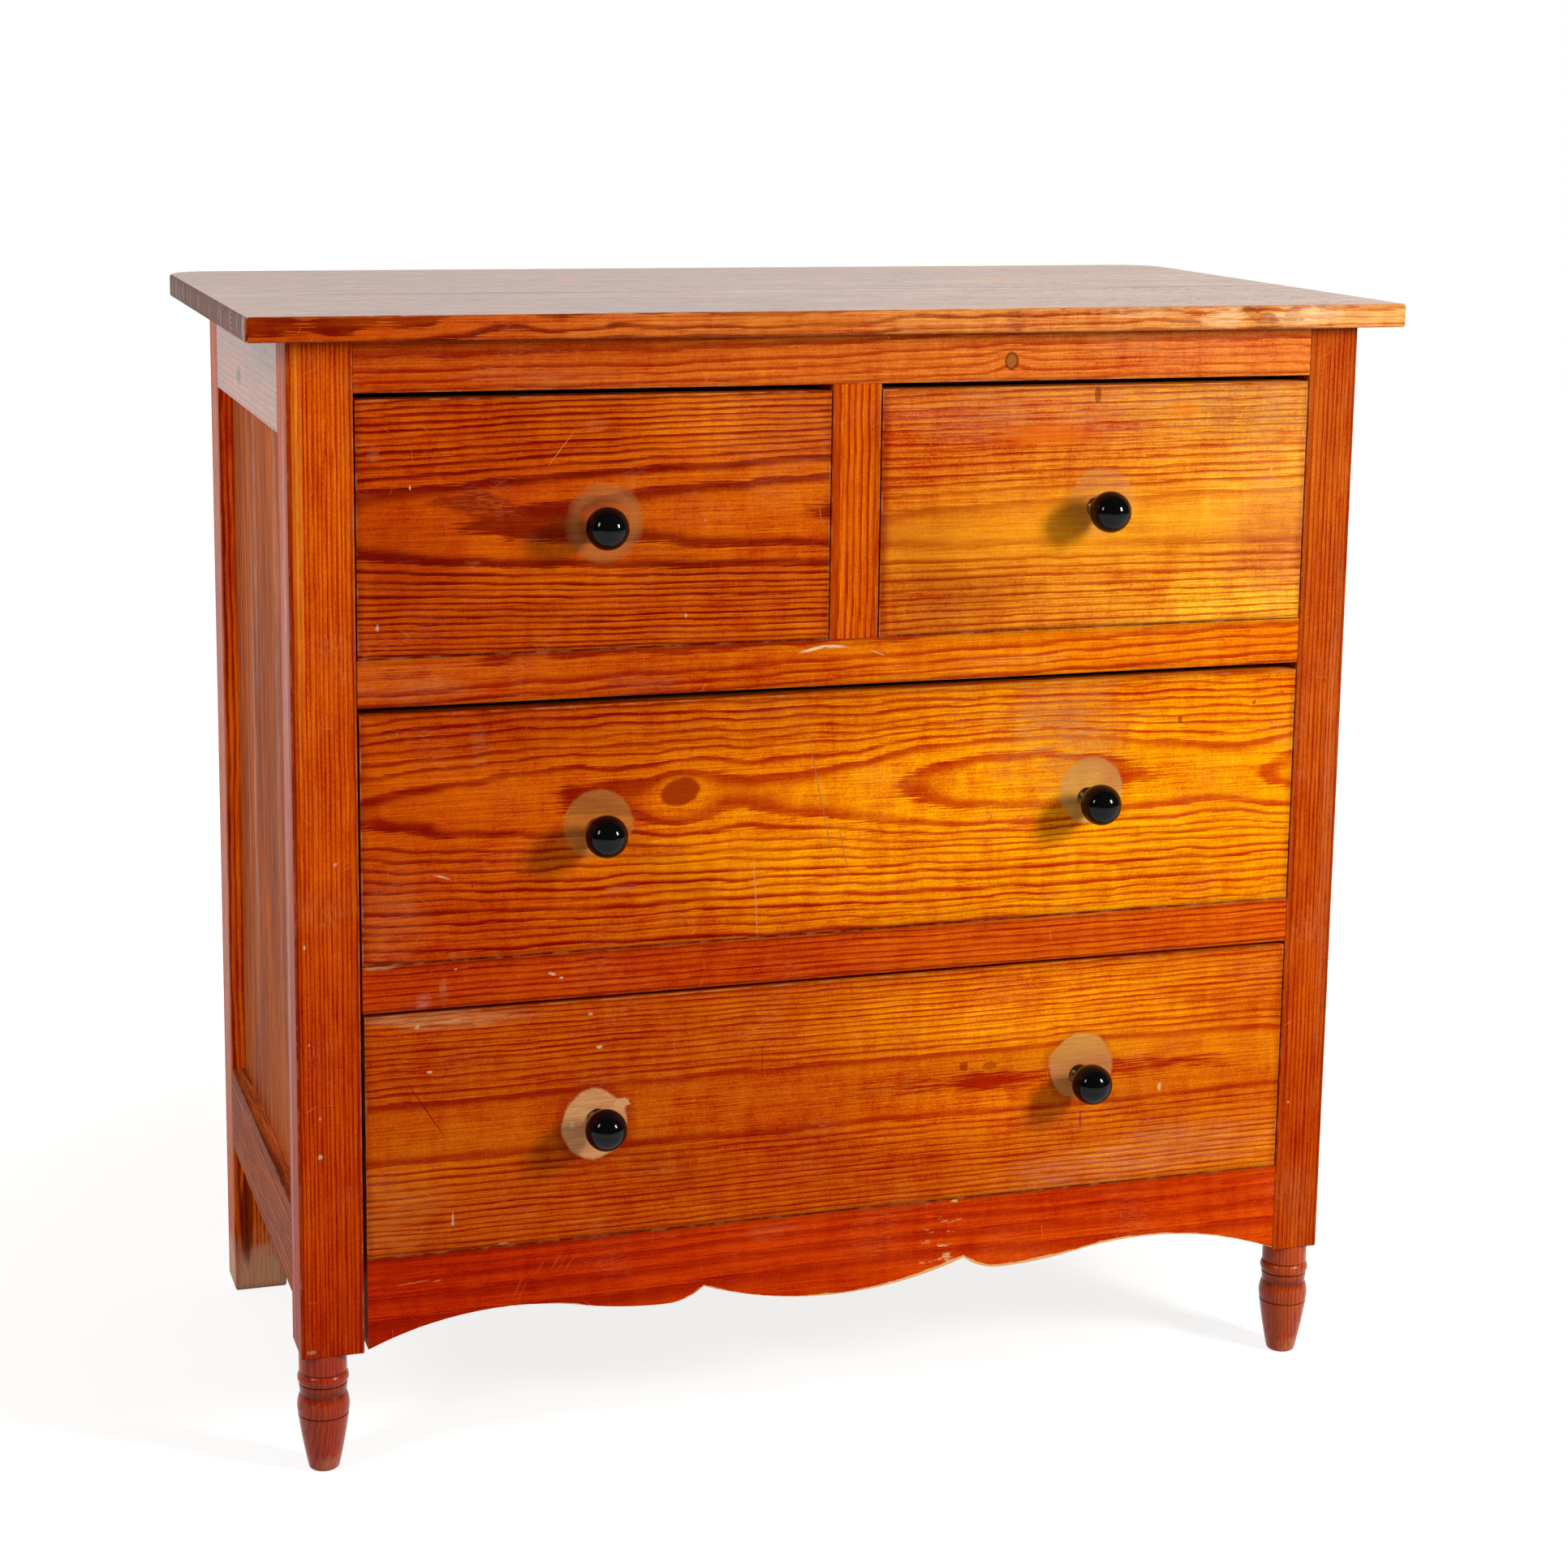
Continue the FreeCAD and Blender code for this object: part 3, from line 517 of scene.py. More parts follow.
def wear_board(tree, where, grain, ways, half, colour, look):
    colour = scratched(tree, grain, colour, look)
    dusty = step(tree, cloud(tree, where, DUSTS, 3.0)[0], 0.52, 0.78)
    grit = step(tree, cloud(tree, grain, DUST_GRITS, 2.0)[0], 0.45, 0.66)
    scuffed = calc(tree, "MULTIPLY", calc(tree, "MULTIPLY", dusty, grit), look["scuff"])
    colour = blend(tree, scuffed, colour, SCUFF)
    inward = [calc(tree, "SUBTRACT", half[n], calc(tree, "ABSOLUTE", ways[n])) for n in range(3)]
    edge = calc(tree, "MINIMUM", calc(tree, "MAXIMUM", inward[0], inward[1]), inward[2])
    edge = calc(tree, "MAXIMUM", calc(tree, "MINIMUM", inward[0], inward[1]), edge)
    # Darker towards the board's rim.
    colour = blend(tree, step(tree, edge, 0.0, 8 * MM, look["dirt"], 0.0), colour, EDGE_DARK)
    patchy = step(tree, cloud(tree, where, PATCHES, 3.0)[0], 0.45, 0.65)
    rubbed = calc(tree, "MULTIPLY", step(tree, edge, 0.2 * MM, 1.8 * MM, look["rub"], 0.0), patchy)
    colour = blend(tree, rubbed, colour, RUBBED)
    return blend(tree, paint_specks(tree, where, look), colour, PAINT_SPECK), rubbed


print("wear ready")

# %% [markdown]
# Stain, marks and wear together give the colour of a board. The varnish over it has a low gloss that turns
# milky where it is seen at a low angle. Late wood stands a little proud of the softer early wood, which the
# bump shows. Where a board goes into the case its stain ends, and bare wood begins.

# %% Mix the varnished pine
VARNISH_IOR, MOST_MARKS = 1.09, 29
BARE_EARLY, BARE_LATE = tint(206, 160, 104), tint(168, 108, 58)
PINE = dict(
    ring=5.0, heart=0.0, heart_ring=10.0, share=0.5, pith=(0.0, 60.0), lean=(0.0, 0.0), wander=12.0,
    ripple=3.0,
    seed=1.0, depth=0.95, swells=(), marks=(), gloss=0.36, rub=0.35, specks=0.75, scratches=0.36,
    scuff=0.42, dirt=0.3,
    streak=1.3, drift=0.7, pores=-0.12, hue=1.8, relief=0.1, bare_from=None, ior=VARNISH_IOR)


def bump_map(tree, height, distance, strength=1.0):
    bump = put(tree, "Bump")
    return fill(tree, bump, Strength=strength, Distance=distance, Height=height).outputs[0]


def varnished_pine(name, box, order, pale, dark, **own_look):
    look = {**PINE, **own_look}
    assert len(look["marks"]) <= MOST_MARKS, name
    material, tree = new_material(name)
    where = put(tree, "TexCoord").outputs["Object"]
    grain, ways, half = board_way(tree, where, box[0], box[1], order)
    out = saw_board(tree, where, grain, look)
    colour, grit = stain_board(tree, where, ways, half, pale, dark, out, look)
    for one in look["marks"]:
        colour = blend(tree, mark_mask(tree, where, grain, one), colour, one["colour"], one["how"])
    colour, rubbed = wear_board(tree, where, grain, ways, half, colour, look)
    rough = calc(tree, "MULTIPLY_ADD", out["Cloudy"], 0.2, look["gloss"])
    rough = calc(tree, "MULTIPLY_ADD", out["Fibre"], 0.25, rough)
    rough = calc(tree, "MULTIPLY_ADD", rubbed, 0.25, rough)
    if look["bare_from"] is not None:
        begin = look["bare_from"] - half[2]
        within = step(tree, ways[2], begin, begin + 3 * MM)
        colour = blend(tree, within, colour, blend(tree, out["Late"], BARE_EARLY, BARE_LATE))
        rough = calc(tree, "MULTIPLY_ADD", within, 0.35, rough)
    height = calc(tree, "MULTIPLY_ADD", out["Late"], 0.5, calc(tree, "MULTIPLY", out["Fibre"], 0.6))
    normal = bump_map(tree, calc(tree, "MULTIPLY_ADD", grit, 0.5, height), look["relief"] * MM)
    coat(tree, Base_Color=colour, Roughness=rough, Normal=normal, IOR=look["ior"])
    return material


print("varnished pine ready")

# %% [markdown]
# New pieces are modelled as by hand. These helpers clear the selection, start a block at its real size or
# a copy of a shape, pick edges or faces by where they are, and round or pull out what is picked.

# %% Helpers for modelling
def start_fresh():
    if bpy.context.mode != "OBJECT":
        bpy.ops.object.mode_set(mode="OBJECT")
    bpy.ops.object.select_all(action="DESELECT")


def take_all():
    bpy.ops.mesh.select_all(action="SELECT")


def pull(offset):
    bpy.ops.mesh.extrude_region_move(TRANSFORM_OT_translate={"value": offset})


def bevel(width, segments):
    bpy.ops.mesh.bevel(offset=width, segments=segments, affect="EDGES")


def block(name, low, high):
    start_fresh()
    low, high = Vector(low), Vector(high)
    bpy.ops.mesh.primitive_cube_add(size=1.0, location=(low + high) / 2, scale=high - low)
    piece = bpy.context.object
    piece.name = piece.data.name = name
    bpy.ops.object.transform_apply(location=True, rotation=True, scale=True)
    bpy.ops.object.mode_set(mode="EDIT")
    return piece


def edit_copy(name, mesh):
    start_fresh()
    piece = bpy.data.objects.new(name, mesh.copy())
    piece.data.name = name
    bpy.context.scene.collection.objects.link(piece)
    piece.select_set(True)
    bpy.context.view_layer.objects.active = piece
    bpy.ops.object.mode_set(mode="EDIT")
    take_all()
    return piece


def pick(piece, kind, test):
    bpy.ops.mesh.select_mode(type=kind)
    bpy.ops.mesh.select_all(action="DESELECT")
    grid = bmesh.from_edit_mesh(piece.data)
    parts = {"VERT": grid.verts, "EDGE": grid.edges}[kind]
    count = 0
    for part in parts:
        if test(part):
            part.select_set(True)
            count += 1
    bmesh.update_edit_mesh(piece.data)
    return count


def runs_up(edge):
    span = edge.verts[1].co - edge.verts[0].co
    return abs(span.z) > 0.999 * span.length


def midpoint(edge):
    return (edge.verts[0].co + edge.verts[1].co) / 2


print("modelling helpers ready")

# %% [markdown]
# A finished piece gets its shading, its wood and its place in the frame. The plain boards are copies of their
# solids: loose triangles are merged, and the rim of the face is rounded a little, as sandpaper leaves it.

# %% Helpers for finishing a piece
def dress(thing, material):
    thing.data.materials.clear()
    thing.data.materials.append(material)


def settle(piece, body, node, material, angle=32):
    start_fresh()
    piece.select_set(True)
    bpy.context.view_layer.objects.active = piece
    if angle:
        bpy.ops.object.shade_smooth_by_angle(angle=math.radians(angle))
        flat = piece.modifiers.new("flat_faces", "WEIGHTED_NORMAL")
        flat.keep_sharp = True
        bpy.ops.object.modifier_apply(modifier=flat.name)
    else:
        bpy.ops.object.shade_flat()
    dress(piece, material)
    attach(piece, body)
    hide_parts(node)
    print("made", piece.name, "with", len(piece.data.polygons), "faces")


def front_rim(edge):
    long_enough = (edge.verts[1].co - edge.verts[0].co).length > 30 * MM
    return long_enough and max(edge.verts[0].co.y, edge.verts[1].co.y) < FRONT + 0.01 * MM


def eased_copy(node, name, width):
    piece = edit_copy(name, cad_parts[node].data)
    bpy.ops.mesh.remove_doubles(threshold=1e-6)
    bpy.ops.mesh.dissolve_limited(angle_limit=math.radians(0.5))
    found = pick(piece, "EDGE", front_rim)
    bevel(width, 2)
    print("eased", found, "edges of", name)
    return piece


print("finishing helpers ready")

# %% [markdown]
# The drawer fronts come from four different boards. First their woods: how each was sawn, its stain, and the
# marks it has kept. A plate mark is a pale disc, a chip a small loss of varnish, a haze a dull patch, a glow
# a place where the stain is lighter or deeper, and a seam the dark line along a drawer's lower edge.

# %% Helpers for the marks of the fronts
DISC, HAZE, DEEP, LINE = (178, 116, 62), (208, 132, 80), (112, 14, 0), (236, 170, 100)
CHIP, SEAM = (240, 208, 180), (64, 12, 0)


def plate_mark(x, z, wide, high, strength, colour=DISC, ragged=0.04):
    return mark(x, z, wide, high, colour, strength, ragged=ragged, soft=0.05, broken=0.3)


def chip(x, z, wide, high, strength=0.75, turn=0.0):
    return mark(x, z, wide * 0.8, high * 0.8, CHIP, strength, turn, ragged=1.2, soft=0.3, broken=0.5)


def haze(x, z, wide, high, strength=0.35, colour=HAZE):
    return mark(x, z, wide, high, colour, strength * 0.6, ragged=1.1, soft=0.7, broken=0.85)


def glow(x, z, wide, high, colour):
    return mark(x, z, wide, high, colour, ragged=0.5, soft=0.9, how="MULTIPLY")


def seam(x, z, wide):
    return mark(x, z, wide * 1.3, 1.5, SEAM, 0.85, soft=0.4)


drawer_looks = {}
print("marks of the fronts ready")

# %% [markdown]
# The upper left front was sawn close to the pith: wide flames in its middle and close lines above and below.

# %% Choose the wood of the upper left drawer
drawer_looks["top_left"] = dict(
    pale=[(200, 75, 2), (214, 95, 6)], dark=[(118, 0, 0), (126, 0, 0)], depth=1.0, ring=4.4, heart=62.0,
    heart_ring=10.0, share=0.46, pith=(5.0, 38.0), lean=(0.0, -0.039), wander=9.0, ripple=3.5, seed=3.1,
    marks=[
        plate_mark(-206.5, 787.8, 28.5, 28.5, 0.4),
        mark(-206.5, 787.8, 27.0, 27.0, DISC, 0.45, ragged=0.1, soft=0.08, rim=0.2, broken=0.4),
        mark(-314, 808, 28, 8, (118, 8, 0), 0.75, ragged=0.9, soft=0.3, broken=0.35),
        mark(-272, 793, 44, 7, (118, 8, 0), 0.6, turn=-6, ragged=0.9, soft=0.4, broken=0.35),
        seam(-211, 684.8, 194), glow(-366, 762, 44, 28, (226, 188, 200)),
        glow(-289, 813, 36, 20, (240, 205, 210)),
        glow(-366, 865, 44, 24, (275, 300, 255)), glow(-133, 865, 44, 24, (275, 295, 255)),
        stroke(-289, 776, -279, 777, 1.6, DEEP), chip(-364, 821, 0.8, 2.6), chip(-391, 710, 1.8, 3.4, 0.6),
        chip(-138, 710, 1.2, 2.4, 0.6),
        haze(-393, 848, 4, 6, 0.5), haze(-266, 776, 7, 4), haze(-214, 867, 8, 5), haze(-314, 757, 6, 4),
        haze(-60, 860, 70, 40, 0.25), stroke(-252, 836, -232, 862, 0.8, LINE, 0.45, 0.4)])
print("upper left front:", len(drawer_looks["top_left"]["marks"]), "marks")

# %% [markdown]
# The upper right front has straight honey lines, and is the most golden of the four.

# %% Choose the wood of the upper right drawer
drawer_looks["top_right"] = dict(
    pale=[(226, 122, 20), (246, 154, 36)], dark=[(164, 32, 0), (186, 56, 0)], ring=5.2, heart=52.0,
    heart_ring=7.0, share=0.38,
    pith=(-13.0, 30.0), lean=(0.012, -0.012), wander=10.0, ripple=3.0, seed=7.4, drift=0.9, marks=[
        plate_mark(226.2, 791.8, 29.5, 29.5, 0.4, (206, 144, 88)),
        # Painted shadow of the knob on its disc, left of the neck.
        mark(202, 783, 13, 15, (136, 54, 8), 0.5, ragged=0.3, soft=0.7),
        mark(205, 772, 190, 30, (250, 160, 16), 0.5, ragged=0.4, soft=0.7, broken=0.5),
        haze(235, 872, 190, 24, 0.55, (214, 150, 100)), haze(390, 800, 50, 90, 0.45, (214, 150, 100)),
        glow(90, 715, 60, 24, (226, 214, 215)), glow(68, 765, 40, 26, (236, 226, 240)),
        glow(345, 868, 80, 26, (236, 253, 262)),
        glow(330, 705, 70, 20, (262, 295, 255)), glow(385, 758, 32, 30, (232, 212, 220)),
        seam(221.5, 684.8, 194), mark(30, 800, 5, 110, (150, 20, 0), 0.55, soft=0.8),
        mark(219.7, 883, 3.0, 7, (126, 44, 10), 0.7, ragged=0.5),
        mark(175, 850, 40, 8, (236, 112, 4), 0.6, ragged=0.7, soft=0.5),
        mark(300, 868, 16, 7, (236, 120, 10), 0.5, ragged=0.7, soft=0.5),
        chip(383, 816, 1.0, 3.4, turn=35), chip(412, 846, 1.0, 4)])
print("upper right front:", len(drawer_looks["top_right"]["marks"]), "marks")

# %% [markdown]
# The middle front has long waves, bent round a knot at the left and round two points at the right.

# %% Choose the wood of the middle drawer
drawer_looks["middle"] = dict(
    pale=[(207, 79, 2), (246, 145, 1)], dark=[(134, 0, 0), (194, 36, 0)], depth=1.0, ring=7.2, heart=41.4,
    heart_ring=13.0, share=0.42, pith=(19.0, 30.0), lean=(-0.010, 0.0), wander=7.0, ripple=9.0, seed=5.2,
    swells=[
        (-480, 557, 150, 200, 9.6), (-141.9, 562.7, 34, 34, -7.0), (160, 556, 140, 46, -25.0),
        (470, 548, 90, 40, -26.0)],
    marks=[
        plate_mark(-211.1, 539.8, 29.0, 29.0, 0.6),
        plate_mark(224.6, 542.4, 29.0, 29.0, 0.8, (196, 140, 82)),
        glow(0, 530, 210, 84, (285, 317, 255)), glow(-150, 622, 260, 22, (242, 236, 250)),
        seam(4, 433.3, 410),
        mark(-141.9, 562.7, 17.0, 11.5, (158, 46, 2), 0.9, turn=-14, ragged=0.12, soft=0.12),
        haze(196, 596, 50, 38, 1.1, (194, 128, 72)),
        stroke(-32.6, 608.7, -7.8, 493.9, 1.1, (150, 110, 70), 0.7, 0.6),
        stroke(-3.8, 525.8, 7.6, 473.8, 1.0, (150, 110, 70), 0.6, 0.6),
        stroke(-77.9, 504.8, -73.9, 434, 1.0, (216, 150, 96), 0.7, 0.6), chip(-341, 504, 7.5, 0.9, 0.8, 17),
        stroke(-316, 499, -316, 493, 1.0, DEEP),
        haze(-310, 611, 6, 14, 0.45), haze(-192, 483, 12, 4, 0.5), haze(-380, 470, 24, 36, 0.35),
        mark(306, 600, 2, 3.5, (120, 40, 0), 0.7, ragged=0.7),
        mark(376, 612, 1.6, 2, (120, 40, 0), 0.7, ragged=0.7), haze(-393, 440, 5, 3, 0.5),
        haze(-332, 438, 4, 3, 0.5), haze(-297, 436, 4, 2.5, 0.5)])
print("middle front:", len(drawer_looks["middle"]["marks"]), "marks")

# %% [markdown]
# The bottom front has fine even lines and the palest discs.

# %% Choose the wood of the bottom drawer
drawer_looks["bottom"] = dict(
    pale=[(206, 87, 4), (228, 116, 6)], dark=[(150, 8, 0), (184, 38, 0)], depth=1.0, ring=4.4, heart=54.0,
    heart_ring=9.0, share=0.42,
    pith=(2.0, 36.0), lean=(0.0, 0.0), wander=9.0, ripple=3.0, seed=9.3, drift=0.8, marks=[
        mark(-214, 284, 34.0, 36.0, (150, 22, 0), 0.55, ragged=0.2, soft=0.15),
        plate_mark(-214, 283.5, 27.5, 30.0, 0.92, (234, 174, 116), 0.12),
        mark(-190, 300, 7, 4, (230, 170, 112), 0.9, ragged=0.9),
        mark(223, 296, 33.0, 33.0, (160, 40, 0), 0.4, ragged=0.2, soft=0.15),
        plate_mark(223.2, 295.2, 30.0, 29.5, 0.85, (208, 142, 82), 0.14),
        mark(-340, 385, 62, 7, (220, 158, 104), 0.65, turn=2, ragged=0.8, soft=0.5, broken=0.8),
        chip(-362, 380, 2.4, 1.8), chip(-217, 379, 2.4, 1.5),
        chip(-210, 350, 3, 1.8), chip(-352, 341, 2.6, 1.5), chip(-233, 284, 3, 4),
        chip(-334, 213, 1.3, 7), chip(-292, 187, 5, 0.9),
        glow(150, 352, 150, 34, (289, 335, 255)), glow(130, 262, 84, 22, (283, 300, 255)),
        glow(345, 290, 74, 50, (248, 234, 240)),
        glow(-48, 285, 46, 34, (250, 230, 240)), glow(-150, 214, 220, 20, (250, 228, 210)),
        seam(4, 184.8, 410), haze(-385, 215, 40, 30, 0.6, (206, 128, 60)),
        stroke(-373, 337, -338, 281, 0.9, (90, 20, 0), 0.8, 0.3),
        stroke(-68.6, 341, -68.3, 312, 1.6, DEEP, 0.45, 0.4),
        stroke(224, 254, 224.5, 239, 2.4, (176, 20, 0), 0.75, 0.3),
        mark(299, 269.5, 1.8, 3.6, (236, 180, 120), 0.9, ragged=0.6),
        haze(216, 200, 60, 14, 0.45, (216, 150, 116)), haze(322, 213, 70, 18, 0.45, (216, 150, 116)),
        mark(113.6, 304.6, 4, 4, (140, 34, 0), 0.7, ragged=0.8),
        mark(137, 303, 7, 4, (150, 40, 0), 0.6, ragged=0.9)])
print("bottom front:", len(drawer_looks["bottom"]["marks"]), "marks")

# %% [markdown]
# A copy of each solid keeps the dovetail sockets. The rim of its face is rounded by under a millimetre.

# %% Finish the drawer fronts
FRONT_EASE, STAIN_DEPTH = 0.9 * MM, 16 * MM
for name, look in drawer_looks.items():
    node = name + "_drawer_front"
    piece = eased_copy(node, name + "_front_board", FRONT_EASE)
    pine = varnished_pine(name + "_front_pine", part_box(node), "XZY", bare_from=STAIN_DEPTH, **look)
    settle(piece, name + "_drawer", node, pine, angle=0)

# %% [markdown]
# The rails and the divider are plain boards, flush with the drawers. Their rims are barely rounded.

# %% Finish the rails and the divider
RAIL_EASE = 0.6 * MM
rail_looks = {
    "front_top_rail": dict(
        order="XZY", pale=[(204, 78, 5), (232, 128, 44)], dark=[(150, 14, 0), (188, 66, 2)], ring=5.6,
        pith=(30.0, 14.0), share=0.42,
        lean=(0.02, 0.0), seed=2.3, wander=14.0, ripple=4.0, swells=[(141, 912.6, 16, 14, 4.0)], marks=[
            mark(141, 912.6, 6.0, 7.5, (70, 20, 4), 0.8, ragged=0.2),
            mark(141, 912.6, 4.4, 5.6, (170, 96, 40), 0.95, ragged=0.15),
            haze(330, 918, 60, 12, 0.5, (226, 150, 90)), haze(250, 925, 40, 8, 0.4, (236, 170, 110)),
            haze(-250, 905, 60, 8, 0.3)]),
    "upper_rail": dict(
        order="XZY", rub=0.1, pale=[(202, 78, 4), (240, 126, 2)], dark=[(146, 8, 0), (186, 46, 0)],
        ring=5.8, pith=(24.0, 14.0), share=0.42,
        lean=(0.03, 0.0), seed=4.7, wander=16.0, ripple=5.0, marks=[
            haze(-362, 663, 46, 14, 0.5), haze(-176, 656, 30, 8, 0.35),
            stroke(-38, 675.2, -18, 679.0, 2.6, (244, 206, 160), 0.9, 0.8),
            stroke(-22, 679.2, -1, 678.2, 2.2, (244, 206, 160), 0.9, 0.8),
            stroke(22, 674, 34, 669, 0.9, (240, 190, 130), 0.7, 0.5),
            haze(150, 660, 40, 6, 0.3, (240, 170, 80))]),
    "lower_rail": dict(
        order="XZY", rub=0.1, pale=[(200, 66, 3), (222, 92, 4)], dark=[(146, 4, 0), (166, 18, 0)], ring=4.6,
        pith=(-60.0, 20.0), share=0.42, seed=6.1, wander=12.0, marks=[
            mark(-393, 431.8, 14, 1.4, (232, 176, 118), 0.9, ragged=1.0, soft=0.3, broken=0.5),
            chip(-250, 416, 3.6, 1.4, 0.7, 20), chip(-242, 412, 2, 1.2, 0.7),
            haze(-357, 401, 5, 6, 0.6, (220, 180, 160)), haze(-340, 408, 3, 12, 0.45, (214, 150, 110)),
            chip(-330, 426, 1.5, 1.0, 0.7)]),
    "drawer_divider": dict(
        order="ZXY", pale=[(220, 96, 1), (212, 90, 1)], dark=[(158, 12, 0)], ring=4.2, pith=(-44.0, 26.0),
        share=0.42, seed=8.2, wander=8.0, marks=[mark(-13, 790, 4, 130, (176, 26, 0), 0.6, soft=0.7)]),
}
for node, look in rail_looks.items():
    piece = eased_copy(node, node + "_board", RAIL_EASE)
    pine = varnished_pine(node + "_pine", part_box(node), look.pop("order"), **look)
    settle(piece, "case", node, pine, angle=0)

# %% [markdown]
# Curved outlines are drawn as arcs through three points. A line is pulled out point by point from one
# corner of a small square, whose other corners are deleted first.

# %% Helpers for outlines
def arc_points(first, via, last, count):
    (ax, ay), (bx, by), (cx, cy) = first, via, last
    d = 2 * (ax * (by - cy) + bx * (cy - ay) + cx * (ay - by))
    ux = ((ax**2 + ay**2) * (by - cy) + (bx**2 + by**2) * (cy - ay) + (cx**2 + cy**2) * (ay - by)) / d
    uy = ((ax**2 + ay**2) * (cx - bx) + (bx**2 + by**2) * (ax - cx) + (cx**2 + cy**2) * (bx - ax)) / d
    radius = math.hypot(ax - ux, ay - uy)
    start = math.atan2(ay - uy, ax - ux)
    turn_via = (math.atan2(by - uy, bx - ux) - start) % (2 * math.pi)
    turn = (math.atan2(cy - uy, cx - ux) - start) % (2 * math.pi)
    if turn_via > turn:
        turn -= 2 * math.pi
    turns = [start + turn * k / count for k in range(count + 1)]
    return [(ux + radius * math.cos(a), uy + radius * math.sin(a)) for a in turns]


def pulled_line(name, points):
    start_fresh()
    bpy.ops.mesh.primitive_plane_add(size=0.01, location=(0, 0, 0))
    piece = bpy.context.object
    piece.name = piece.data.name = name
    bpy.ops.object.mode_set(mode="EDIT")
    corner = Vector((-0.005, -0.005, 0.0))
    pick(piece, "VERT", lambda v: (v.co - corner).length > 1e-4)
    bpy.ops.mesh.delete(type="VERT")
    take_all()
    bpy.ops.transform.translate(value=Vector(points[0]) - corner)
    for here, there in zip(points, points[1:]):
        pull(Vector(there) - Vector(here))
    return piece


print("outline helpers ready")

# %% [markdown]
# The apron was cut from a thin board with a bow saw. Its lower edge is pulled out along the scallop, then
# raised to the top of the board and thickened, which gives clean faces. Both halves use the same arcs,
# mirrored. A band along the cut gives the pale chips of wood a row of points to follow.

# %% Shape the scalloped apron
APRON_BAND, APRON_END, APRON_GAP = 3.5 * MM, 107.0, 3.0
SCALLOP = (
    ((288.0, 131.5), (218.0, 124.1), 14), ((184.0, 119.5), (150.0, 118.0), 9),
    ((134.0, 121.0), (118.0, 130.0), 7))
MIDDLE_DROP, MIDDLE_STEPS = (0.0, 109.5), 18
apron_low, apron_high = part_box("scalloped_apron")
post_left_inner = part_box("front_post_left")[1].x
post_right_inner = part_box("front_post_right")[0].x
here = (post_left_inner / MM + APRON_GAP, APRON_END)
scallop = []
for via, there, count in SCALLOP:
    there = (-there[0], there[1])
    scallop += arc_points(here, (-via[0], via[1]), there, count)[:-1]
    here = there
scallop += arc_points(here, MIDDLE_DROP, SCALLOP[-1][1], MIDDLE_STEPS)
right_ends = [SCALLOP[1][1], SCALLOP[0][1], (post_right_inner / MM, APRON_END)]
for (via, start, count), end in zip(reversed(SCALLOP), right_ends):
    scallop += arc_points(start, via, end, count)[1:]
apron = pulled_line("apron_board", [(x * MM, FRONT, z * MM) for x, z in scallop])
take_all()
pull((0, 0, APRON_BAND))
pull((0, 0, 10 * MM))
bpy.ops.transform.resize(value=(1, 1, 0), center_override=(0, FRONT, apron_high.z))
take_all()
pull((0, apron_high.y - FRONT, 0))
take_all()
bpy.ops.mesh.normals_make_consistent(inside=False)
print("apron outline of", len(scallop), "points")

# %% [markdown]
# The wear band: points of the apron on the cut edge are given 1 and all others 0. Chips of pale wood show
# where noise and the band together are strong, from a little left of the middle to the right end.

# %% Rub and stain the apron
HATCH, CHIPS_FROM, CHIPS_FADE, CHIPPED = (226, 116, 48), -125 * MM, 40 * MM, tint(238, 186, 122)
start_fresh()
rub_band = apron.data.attributes.new("rubbed_edge", "FLOAT", "POINT")
cut_heights = {}
for point in apron.data.vertices:
    key = round(point.co.x, 5)
    cut_heights[key] = min(cut_heights.get(key, apron_high.z), point.co.z)
for point in apron.data.vertices:
    rub_band.data[point.index].value = float(point.co.z < cut_heights[round(point.co.x, 5)] + 1e-5)
hatch = [
    stroke(*ends, width, HATCH, strength, 0.6)
    for *ends, width, strength in (
        (-285, 136, -275, 156, 0.9, 0.32), (-280, 134, -271, 153, 0.9, 0.26),
        (-264, 157, -256, 170, 0.9, 0.28), (-252, 158, -242, 174, 0.9, 0.32),
        (-246, 157, -237, 172, 0.8, 0.22), (-238, 159, -230, 171, 0.9, 0.28))]
apron_pine = varnished_pine(
    "apron_pine", (apron_low, apron_high), "XZY", pale=[(202, 46, 1), (224, 72, 1)],
    dark=[(144, 2, 0), (172, 12, 0)], ring=9.0, pith=(-30.0, 30.0), wander=22.0, seed=11.0, depth=0.6,
    rub=0.1, drift=0.8, marks=hatch + [
        stroke(-380, 160, -356, 162, 1.2, LINE, 0.55, 1.0, 0.8),
        stroke(-350, 160, -344, 161, 1.4, LINE, 0.5, 1.0, 0.5), haze(-60, 172, 20, 5, 0.4)])
tree = apron_pine.node_tree
finish = next(n for n in tree.nodes if n.type == "BSDF_PRINCIPLED")
stained = finish.inputs["Base Color"].links[0].from_socket
band = put(tree, "Attribute", attribute_name="rubbed_edge").outputs["Fac"]
where = put(tree, "TexCoord").outputs["Object"]
across = put(tree, "SeparateXYZ")
plug(tree, where, across.inputs[0])
fine = cloud(tree, where, (60.0, 20.0, 160.0), 4.0, 0.65)[0]
broad = cloud(tree, where, (11.0, 11.0, 2.0), 1.0)[0]
chips = calc(tree, "MULTIPLY_ADD", fine, 0.7, broad)
right = step(tree, across.outputs[0], CHIPS_FROM - CHIPS_FADE, CHIPS_FROM, -0.3, 0.06)
chips = calc(tree, "ADD", chips, right)
chipped = step(tree, calc(tree, "MULTIPLY_ADD", band, 0.6, chips), 1.22, 1.30)
fill(tree, finish, Base_Color=blend(tree, chipped, stained, CHIPPED))
settle(apron, "case", "scalloped_apron", apron_pine)

